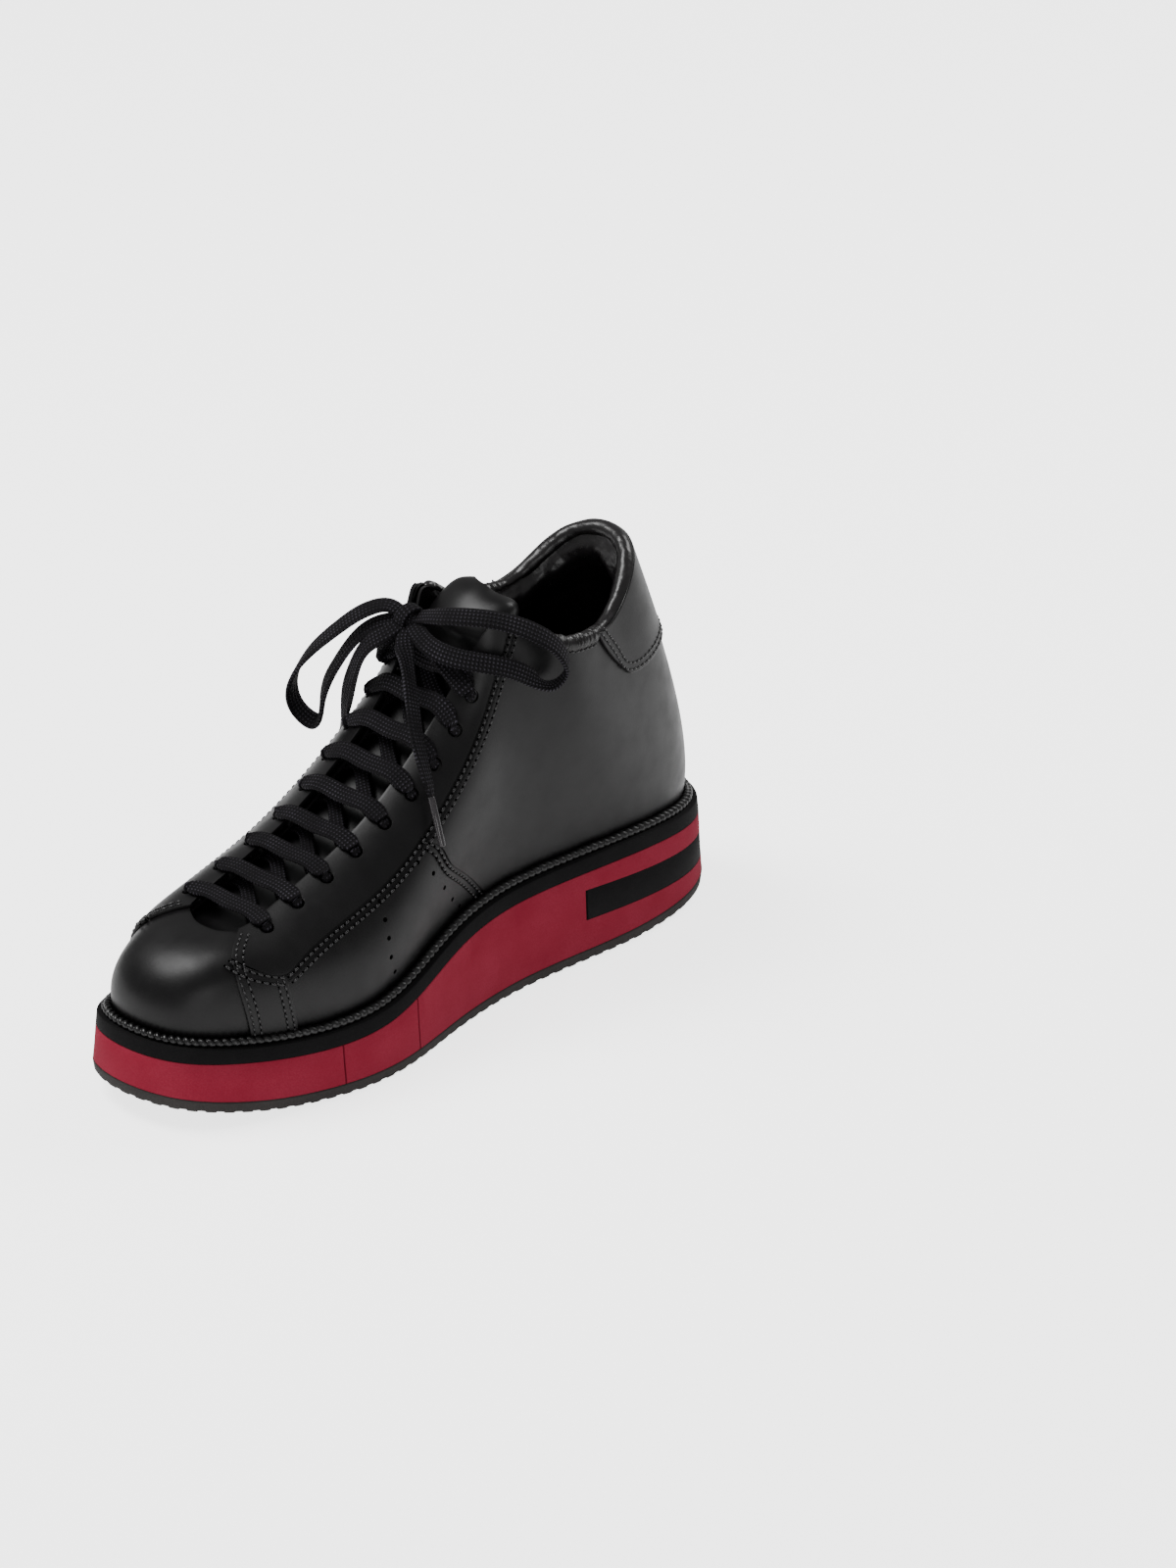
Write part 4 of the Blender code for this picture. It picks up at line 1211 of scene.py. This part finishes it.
def laced_route() -> Array:
    """Stations of the laced part: nine bars over the eyestays and the crossings under them.

    Returns:
        Rows of point, facing, width and thickness.
    """
    rows: list[tuple[Array, Array, float, float]] = []
    under = LINING_OFFSET - LACE_THICK / 2 - 0.5
    wide_in, thick_in = LACE_IN_HOLE
    for row, (u, t) in enumerate(EYELETS):
        s = {1: np.array(u), -1: np.array(2 - u)}
        hole = {side: LAST.shell(s[side], np.array(t)) for side in s}
        normal = {side: LAST.normal(s[side], np.array(t)) for side in s}
        across = unit(hole[1] - hole[-1])
        facing = unit(normal[1] + normal[-1])
        lines = {}
        for side in s:
            inward = -across * side
            line = [(hole[side] + normal[side] * h, inward, wide_in, thick_in)
                    for h in (under - 0.6, -0.6, 1.9)]
            for f, lift, wide, tilt in (
                (0.30, 0.7, 5.6, 0.5), (0.62, 0.45, LACE_WIDTH, 0.0), (1.0, 0.3, LACE_WIDTH, 0.0),
            ):
                at = np.array(t + (0.99 - t) * f)
                face = LAST.normal(s[side], at)
                place = LAST.shell(s[side], at) + face * (LACE_OFFSET - 0.6 + lift)
                line.append((place, face + inward * tilt,
                             wide, LACE_THICK))
            lines[side] = line
        rows += lines[-1]
        rows.append(((lines[-1][-1][0] + lines[1][-1][0]) / 2 + facing * 0.4, facing, LACE_WIDTH, LACE_THICK))
        rows += lines[1][::-1]
        if row + 1 < len(EYELETS):
            end = 2 - EYELETS[row + 1][0]
            begin = [(LAST.shell(np.array(u), np.array(at), under - 0.2),
                      -LAST.normal(np.array(u), np.array(at)))
                     for at in (0.95, 0.99)]
            finish = [(LAST.shell(np.array(end), np.array(at), under - 0.2),
                       -LAST.normal(np.array(end), np.array(at)))
                      for at in (0.99, 0.95)]
            middle = ((begin[-1][0] + finish[0][0]) / 2 + facing * 0.8, -facing)
            rows += [(p, f, LACE_WIDTH * 0.8, LACE_THICK) for p, f in (*begin, middle, *finish)]
    return np.array([[*p, *unit(f), w, h] for p, f, w, h in rows])


def lead_route(side: int) -> Array:
    """Stations of the lead from a top eyelet up to the knot.

    Args:
        side: 1 inner side, -1 outer side.

    Returns:
        Rows of point, facing, width and thickness.
    """
    u, t = EYELETS[-1]
    s = np.array(u if side > 0 else 2 - u)
    normal = LAST.normal(s, np.array(t))
    hole = LAST.shell(s, np.array(t))
    end = np.array(KNOT) + np.array([side * 3.6, 2.0, -4.6])
    facing = np.array([0.0, -0.9, 0.45])
    start = hole + normal * LEAD_RISE
    rows = [[*(hole + normal * 0.4), *unit(np.array([-side, -0.2, 0.3])), 4.0, 2.2]]
    for f in np.linspace(0.12, 1, 7):
        point = start + (end - start) * f + facing * 8.0 * f * (1 - f)
        rows.append([*point, *unit(normal * (1 - f) + facing * f), LACE_WIDTH * (1 - 0.3 * f), LACE_THICK])
    return np.array(rows)


def free_route(points: Sequence[Sequence[float]], faces: Sequence[Sequence[float]], both: bool) -> Array:
    """Stations of a free stretch of lace, drawn together where it enters the knot.

    Args:
        points: Centreline.
        faces: Facing at each point.
        both: True when the far end comes back to the knot.

    Returns:
        Rows of point, facing, width and thickness.
    """
    p = np.array(points, float)
    f = np.array(faces, float)
    heart = np.array(KNOT)
    rows = [[*point, *unit(face), LACE_WIDTH, LACE_THICK] for point, face in zip(p, f)]
    for k, wanted in ((0, True), (-1, both)):
        if wanted:
            rows[k][6] = LACE_WIDTH * 0.9
            rows.insert(0 if k == 0 else len(rows),
                        [*(heart + (p[k] - heart) * 0.35), *unit(f[k]), LACE_WIDTH * 0.75, LACE_THICK])
    return np.array(rows)


@dataclass
class Knot(Piece):
    """Heart of the bow: a core of folded lace."""

    def model(self) -> bpy.types.Object:
        def shape(a: Array, b: Array) -> Array:
            angle = a * 2 * math.pi
            f = (b - 0.5) * 2
            across = f * 4.4
            bulge = np.sqrt(np.clip(1 - (f * 0.93) ** 4, 0.05, 1))
            y = np.cos(angle) * 3.0 * bulge
            z = np.sin(angle) * 3.8 * bulge
            return np.stack([across, y, z], -1) + np.array(KNOT)

        obj = mapped_grid(self.name, 40, 24, shape)
        layer = obj.data.uv_layers.new(name="mm")
        flat = np.zeros(len(layer.data) * 2)
        obj.data.uv_layers[0].data.foreach_get("uv", flat)
        layer.data.foreach_set("uv", (flat.reshape(-1, 2) * np.array([26.0, 11.0])).ravel())
        return smooth(weld(obj), 70)


def knot_wrap() -> Array:
    """Stations of the strand wrapped round the bow's middle.

    Returns:
        Rows of point, facing, width and thickness.
    """
    rows = []
    for k in range(13):
        angle = -2.3 + k / 12 * 2 * math.pi * 0.97
        out = np.array([0.18 * math.sin(angle), math.cos(angle), math.sin(angle)])
        point = np.array(KNOT) + np.array([1.8 * math.sin(angle + 0.6), 4.0 * out[1], 4.9 * out[2]])
        rows.append([*point, *unit(out), 5.4, LACE_THICK])
    return np.array(rows)


@dataclass
class Aglet(Piece):
    """Clear film tube crimped on the end of the lace."""

    begin: Array = field(default_factory=lambda: np.zeros(3))
    way: Array = field(default_factory=lambda: np.array([0.0, 0.0, -1.0]))

    def model(self) -> bpy.types.Object:
        middle = (self.begin + self.way * AGLET_LENGTH / 2) * MM
        turn = Vector(self.way).to_track_quat("Z", "Y").to_euler()
        bpy.ops.object.select_all(action="DESELECT")
        bpy.ops.mesh.primitive_cylinder_add(vertices=32, radius=AGLET_DIAMETER / 2 * MM,
                                            depth=AGLET_LENGTH * MM,
                                            location=middle, rotation=turn)
        obj = bpy.context.active_object
        obj.name = self.name
        obj.data.name = self.name
        bpy.ops.object.transform_apply(location=True, rotation=True, scale=True)
        modifier(obj, "BEVEL", width=0.4 * MM, segments=3, limit_method="ANGLE", angle_limit=math.radians(50))
        return smooth(obj, 50)


class Studio:
    """Camera at the photograph's angle, pale floor and soft light."""

    CAMERA = (2.0939, -1.9868, 1.5236)
    AIM = (-0.0707, 0.1671, 0.0)
    LENS = 198.2
    BACKDROP = 2.6
    BOUNCE = 0.45

    def set_up(self) -> None:
        """Places the camera, the floor, the world and the lamps."""
        data = bpy.data.cameras.new("photo_camera")
        data.lens = self.LENS
        data.sensor_width = 36.0
        data.clip_end = 100.0
        camera = bpy.data.objects.new("photo_camera", data)
        bpy.context.scene.collection.objects.link(camera)
        camera.location = self.CAMERA
        camera.rotation_euler = (Vector(self.AIM) - camera.location).to_track_quat("-Z", "Y").to_euler()
        bpy.context.scene.camera = camera
        self.floor()
        self.lamps()

    def floor(self) -> None:
        """Makes the pale floor, blown out to white in the picture but a softer light in the leather."""
        bpy.ops.mesh.primitive_plane_add(size=40)
        floor = bpy.context.active_object
        floor.name = "studio_floor"
        paper = Plain("studio_paper_white", "#fbfbfb", 0.9).material()
        shader = paper.node_tree.nodes["Principled BSDF"]
        shader.inputs["Emission Color"].default_value = linear("#ffffff")
        seen = add_node(paper.node_tree, "ShaderNodeLightPath").outputs["Is Camera Ray"]
        glow = add_node(paper.node_tree, "ShaderNodeMapRange", Value=seen, To_Min=self.BOUNCE,
                        To_Max=self.BACKDROP)
        paper.node_tree.links.new(glow.outputs[0], shader.inputs["Emission Strength"])
        floor.data.materials.append(paper)

    def lamps(self) -> None:
        """Makes the world light and the soft boxes."""
        world = bpy.data.worlds.new("studio_world")
        world.use_nodes = True
        back = world.node_tree.nodes["Background"]
        back.inputs["Color"].default_value = linear("#ffffff")
        back.inputs["Strength"].default_value = 0.35
        bpy.context.scene.world = world
        for name, place, size, power in (
            ("soft_box_key", (-0.6, -0.5, 1.5), 0.8, 26.0),
            ("soft_box_back", (0.1, 1.3, 1.2), 0.7, 12.0),
            ("soft_box_fill", (1.5, -1.3, 0.5), 0.9, 7.0),
        ):
            light = bpy.data.lights.new(name, "AREA")
            light.size = size
            light.energy = power
            lamp = bpy.data.objects.new(name, light)
            bpy.context.scene.collection.objects.link(lamp)
            lamp.location = place
            lamp.rotation_euler = (Vector((0, 0, 0.06)) - lamp.location).to_track_quat("-Z", "Y").to_euler()


class HighTop:
    """The whole shoe."""

    def sole(self) -> None:
        """Makes the outsole, the foam layers, the inlay and the welt."""

        def red_low(y: Array) -> Array:
            return LAST.level(RED_BOTTOM_Z, y)

        def red_top(y: Array) -> Array:
            return LAST.level(RED_TOP_Z, y)

        def shift(height: Callable[[Array], Array], d: float) -> Callable[[Array], Array]:
            return lambda y: height(y) + d

        ground, top = LAST.ground, LAST.flange_top
        SoleLayer("outsole_rubber", OUTSOLE_RUBBER, "rubber_dark_grey", ("outsole",), profile=(
            (9.0, shift(ground, 0.02)), (2.4, shift(ground, 0.02)), (0.5, shift(ground, 0.25)),
            (-0.3, shift(ground, 1.4)), (-0.75, shift(red_low, -0.5)), (-0.5, shift(red_low, -0.05)),
            (8.0, shift(red_low, -0.05))), teeth=0.5, around=1152).make()
        half = SLIT_GAP / 2
        profile = ((8.0, shift(red_low, 0.02)), (-0.3, shift(red_low, 0.02)), (-0.6, shift(red_low, 0.35)),
                   (0.1, lambda y: (red_low(y) + red_top(y)) / 2), (0.68, shift(red_top, -0.3)),
                   (0.9, shift(red_top, 0.0)), (8.0, shift(red_top, 0.0)))
        for name, node, span, groove in (
            ("foam_toe_block", "midsole_toe_block", (None, SLIT_Y[0] - half), False),
            ("foam_ball_block", "midsole_ball_block", (SLIT_Y[0] + half, SLIT_Y[1] - half), False),
            ("foam_heel_wedge", "midsole_heel_wedge", (SLIT_Y[1] + half, None), True),
        ):
            SoleLayer(name, RED_FOAM, "foam_red", (node,), profile=profile, span=span, groove=groove).make()
        SoleLayer("foam_top_layer", BLACK_FOAM, "foam_black", ("midsole_top_layer",), profile=(
            (8.0, shift(red_top, 0.05)), (1.1, shift(red_top, 0.05)), (0.75, shift(red_top, 0.4)),
            (1.2, shift(top, -0.7)), (1.45, shift(top, -0.2)), (2.0, top), (7.5, top), (9.5, top))).make()
        HeelInlay("heel_inlay_band", BLACK_FOAM, "foam_black", ("heel_inlay",)).make()
        Welt("gathered_welt", WELT_CALF, "leather_welt", ("welt",)).make()

    def upper(self) -> None:
        """Makes the leather panels, the lining and the collar."""
        calf = (CALF, "leather_black")
        vamp_side = ((0.826, 0.0), (0.836, 0.43), (0.842, 0.70), (0.832, 0.85), (0.8225, 0.997))
        Panel("vamp_leather", *calf, ("vamp",), foot=((0.826, 0.0), (1.0, 0.0), (1.174, 0.0)),
              top=((0.8225, 0.997), (1.0, 0.997), (1.1775, 0.997)), front=vamp_side,
              rear=tuple((2 - u, t) for u, t in vamp_side), cells=(120, 50)).make()
        for side, tag in ((1, "L"), (-1, "R")):
            self.flank(side, tag)
        top_side = ((0.122, 0.750), (0.135, 0.85), (0.152, 0.998))
        edge = HEEL_TAB_SEAM[3::-1]
        Panel("heel_tab_leather", *calf, ("heel_tab",),
              foot=(*edge, *[(-u, t) for u, t in HEEL_TAB_SEAM[1:4]]),
              top=((0.152, 0.998), (0.0, 0.998), (-0.152, 0.998)), front=top_side,
              rear=tuple((-u, t) for u, t in top_side), lift=HEEL_LIFT, thick=OVERLAY, cells=(90, 44)).make()
        Panel("back_stay_leather", *calf, ("back_stay",), foot=((0.016, 0.03), (-0.016, 0.03)),
              top=((0.018, 0.66), (-0.018, 0.66)), front=((0.016, 0.03), (0.018, 0.66)),
              rear=((-0.016, 0.03), (-0.018, 0.66)), lift=0.5, thick=OVERLAY, cells=(10, 60)).make()
        Lining("collar_lining", GLOVE, "leather_lining", ("lining_L", "lining_R", "collar_pad")).make()
        CollarRoll("collar_roll", GLOVE, "leather_lining").make()

    def flank(self, side: int, tag: str) -> None:
        """Makes the panels of one side.

        Args:
            side: 1 inner side, -1 outer side.
            tag: Letter in the piece's name.
        """
        calf = (CALF, "leather_black")
        Panel(f"eyestay_leather_{tag}", *calf, (f"eyestay_{tag}",), foot=(*STAY_FOOT, *EYESTAY_EDGE[1:-1]),
              top=((0.823, 0.998), (0.60, 0.998), (0.398, 0.998)),
              front=(STAY_FOOT[0], (0.845, 0.85), (0.823, 0.998)), rear=((0.412, 0.906), (0.398, 0.998)),
              side=side, lift=OVERLAY_LIFT, thick=OVERLAY, cells=(150, 24), holes=EYELETS).make()
        Panel(f"side_tab_leather_{tag}", *calf, (f"side_tab_{tag}",), foot=(TAB_FRONT[0], TAB_REAR[0]),
              top=TAB_TOP, front=TAB_FRONT, rear=TAB_REAR, side=side, lift=OVERLAY_LIFT,
              thick=OVERLAY, cells=(18, 40)).make()
        seam = QUARTER_SEAM
        Panel(f"front_quarter_leather_{tag}", *calf, (f"front_quarter_{tag}",),
              foot=((0.828, 0.0), (0.63, 0.0), (0.440, 0.0)),
              top=((0.828, 0.60), (0.770, 0.63), (0.725, 0.70), (0.653, 0.72), (0.578, 0.74)),
              front=((0.828, 0.0), (0.828, 0.60)),
                  rear=tuple((u - 0.003, t) for u, t in seam) + ((0.578, 0.74),),
              side=side, cells=(100, 50), holes=HOLES, hole_diameter=HOLE_DIAMETER).make()
        Panel(f"rear_quarter_leather_{tag}", *calf, (f"rear_quarter_{tag}",),
              foot=((0.443, 0.0), (0.2, 0.0), (0.0005, 0.0)),
              top=((0.584, 0.74), (0.520, 0.775), (0.447, 0.88), (0.405, 0.99), (0.33, 0.997), (0.22, 0.997),
                   (0.142, 0.995), (0.125, 0.86), (0.108, 0.78), (0.072, 0.735), (0.0005, 0.71)),
              front=(*seam, (0.584, 0.74)), rear=((0.0005, 0.0), (0.0005, 0.71)), side=side,
                  lift=-LEATHER + QUARTER_LIFT,
              cells=(150, 60)).make()

    def seams(self) -> None:
        """Makes every visible row of stitches."""
        # second pass: near-black dots of painted shade at the needle holes, a little below the thread
        for name, finish, shade_dots, lift in (
            ("upper_stitching", THREAD, False, 0.12), ("needle_hole_shade", HOLE_SHADE, True, -0.18),
        ):
            threads = Stitches(name, finish, "leather_black", shade_dots=shade_dots)
            over = OVERLAY + OVERLAY_LIFT + lift
            for side in (1, -1):
                for shift in (1.5, 4.1):
                    threads.add_row(EYESTAY_EDGE, side, over, -shift)
                    threads.add_row(STAY_FOOT, side, over, -shift)
                    threads.add_row((*TAB_FRONT, (0.845, 0.85), (0.829, 0.96)), side, over, -shift)
                    threads.add_row(TAB_REAR, side, over, shift)
                    threads.add_row(QUARTER_SEAM, side, QUARTER_LIFT + lift, shift)
                    threads.add_row(HEEL_TAB_SEAM, side, HEEL_LIFT + OVERLAY + lift, -shift)
                threads.add_row(((0.388, 0.955), (0.33, 0.960), (0.22, 0.960), (0.155, 0.955)), side,
                                QUARTER_LIFT + lift, 0)
            threads.make()

    def tongue(self) -> None:
        """Makes the tongue."""
        Tongue("tongue_leather", CALF, "leather_tongue", ("tongue",), Body.TONGUE).make()

    def lace(self) -> None:
        """Makes the lace: laced part, leads, knot, two loops and two ends with their aglets."""
        cotton = (COTTON, "cotton_lace")
        Ribbon("lace_braid", *cotton, ("lace_run",), stations=laced_route()).make()
        for side, tag in ((1, "L"), (-1, "R")):
            Ribbon(f"lace_lead_braid_{tag}", *cotton, (f"lace_lead_{tag}",), stations=lead_route(side)).make()
        Knot("bow_knot_core", *cotton, ("lace_knot",)).make()
        Ribbon("bow_knot_wrap", *cotton, stations=knot_wrap()).make()
        for tag, points, faces in (("A", LOOP_A, LOOP_A_FACE), ("B", LOOP_B, LOOP_B_FACE)):
            piece = Ribbon(f"bow_loop_{tag}", *cotton, (f"lace_loop_{tag}",),
                           stations=free_route(points, faces, True))
            self.declare(piece, "object", ())
        for tag, points, faces in (("A", END_A, END_A_FACE), ("B", END_B, END_B_FACE)):
            piece = Ribbon(f"bow_end_{tag}", *cotton, (f"lace_end_{tag}",),
                           stations=free_route(points, faces, False))
            piece.stations[-1, 6:8] = (2.6, 2.2)
            rows = piece.path()
            way = unit(rows[-1, :3] - rows[-4, :3])
            tip = Aglet(f"aglet_film_{tag}", AGLET_FILM, "plastic_aglet", (f"aglet_{tag}",),
                        begin=rows[-1, :3] - way * 0.3,
                        way=way).make()
            self.declare(piece, "fitting", (tip,))

    @staticmethod
    def declare(piece: Ribbon, far_end: str, pieces: tuple[bpy.types.Object, ...]) -> None:
        """Args:
            piece: The stretch.
            far_end: Not used.
            pieces: Not used.
        """
        obj = piece.make()
        rows = piece.path()[:, :3] * MM

    def repaint(self) -> None:
        """Gives the hidden CAD pieces that stay their real finishes."""
        for node, finish in (("insole_board", BOARD), ("sockliner", GLOVE), ("vamp_lining", GLOVE)):
            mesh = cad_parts[node].data
            mesh.materials.clear()
            mesh.materials.append(finish.material())

    def make(self) -> None:
        """Makes the whole shoe."""
        self.lace()
        self.sole()
        self.upper()
        self.seams()
        self.tongue()
        self.repaint()


def main() -> None:
    """Builds the scene."""
    logging.basicConfig(level=logging.INFO, format="%(message)s")
    Studio().set_up()
    HighTop().make()


if __name__ == "__main__":
    main()
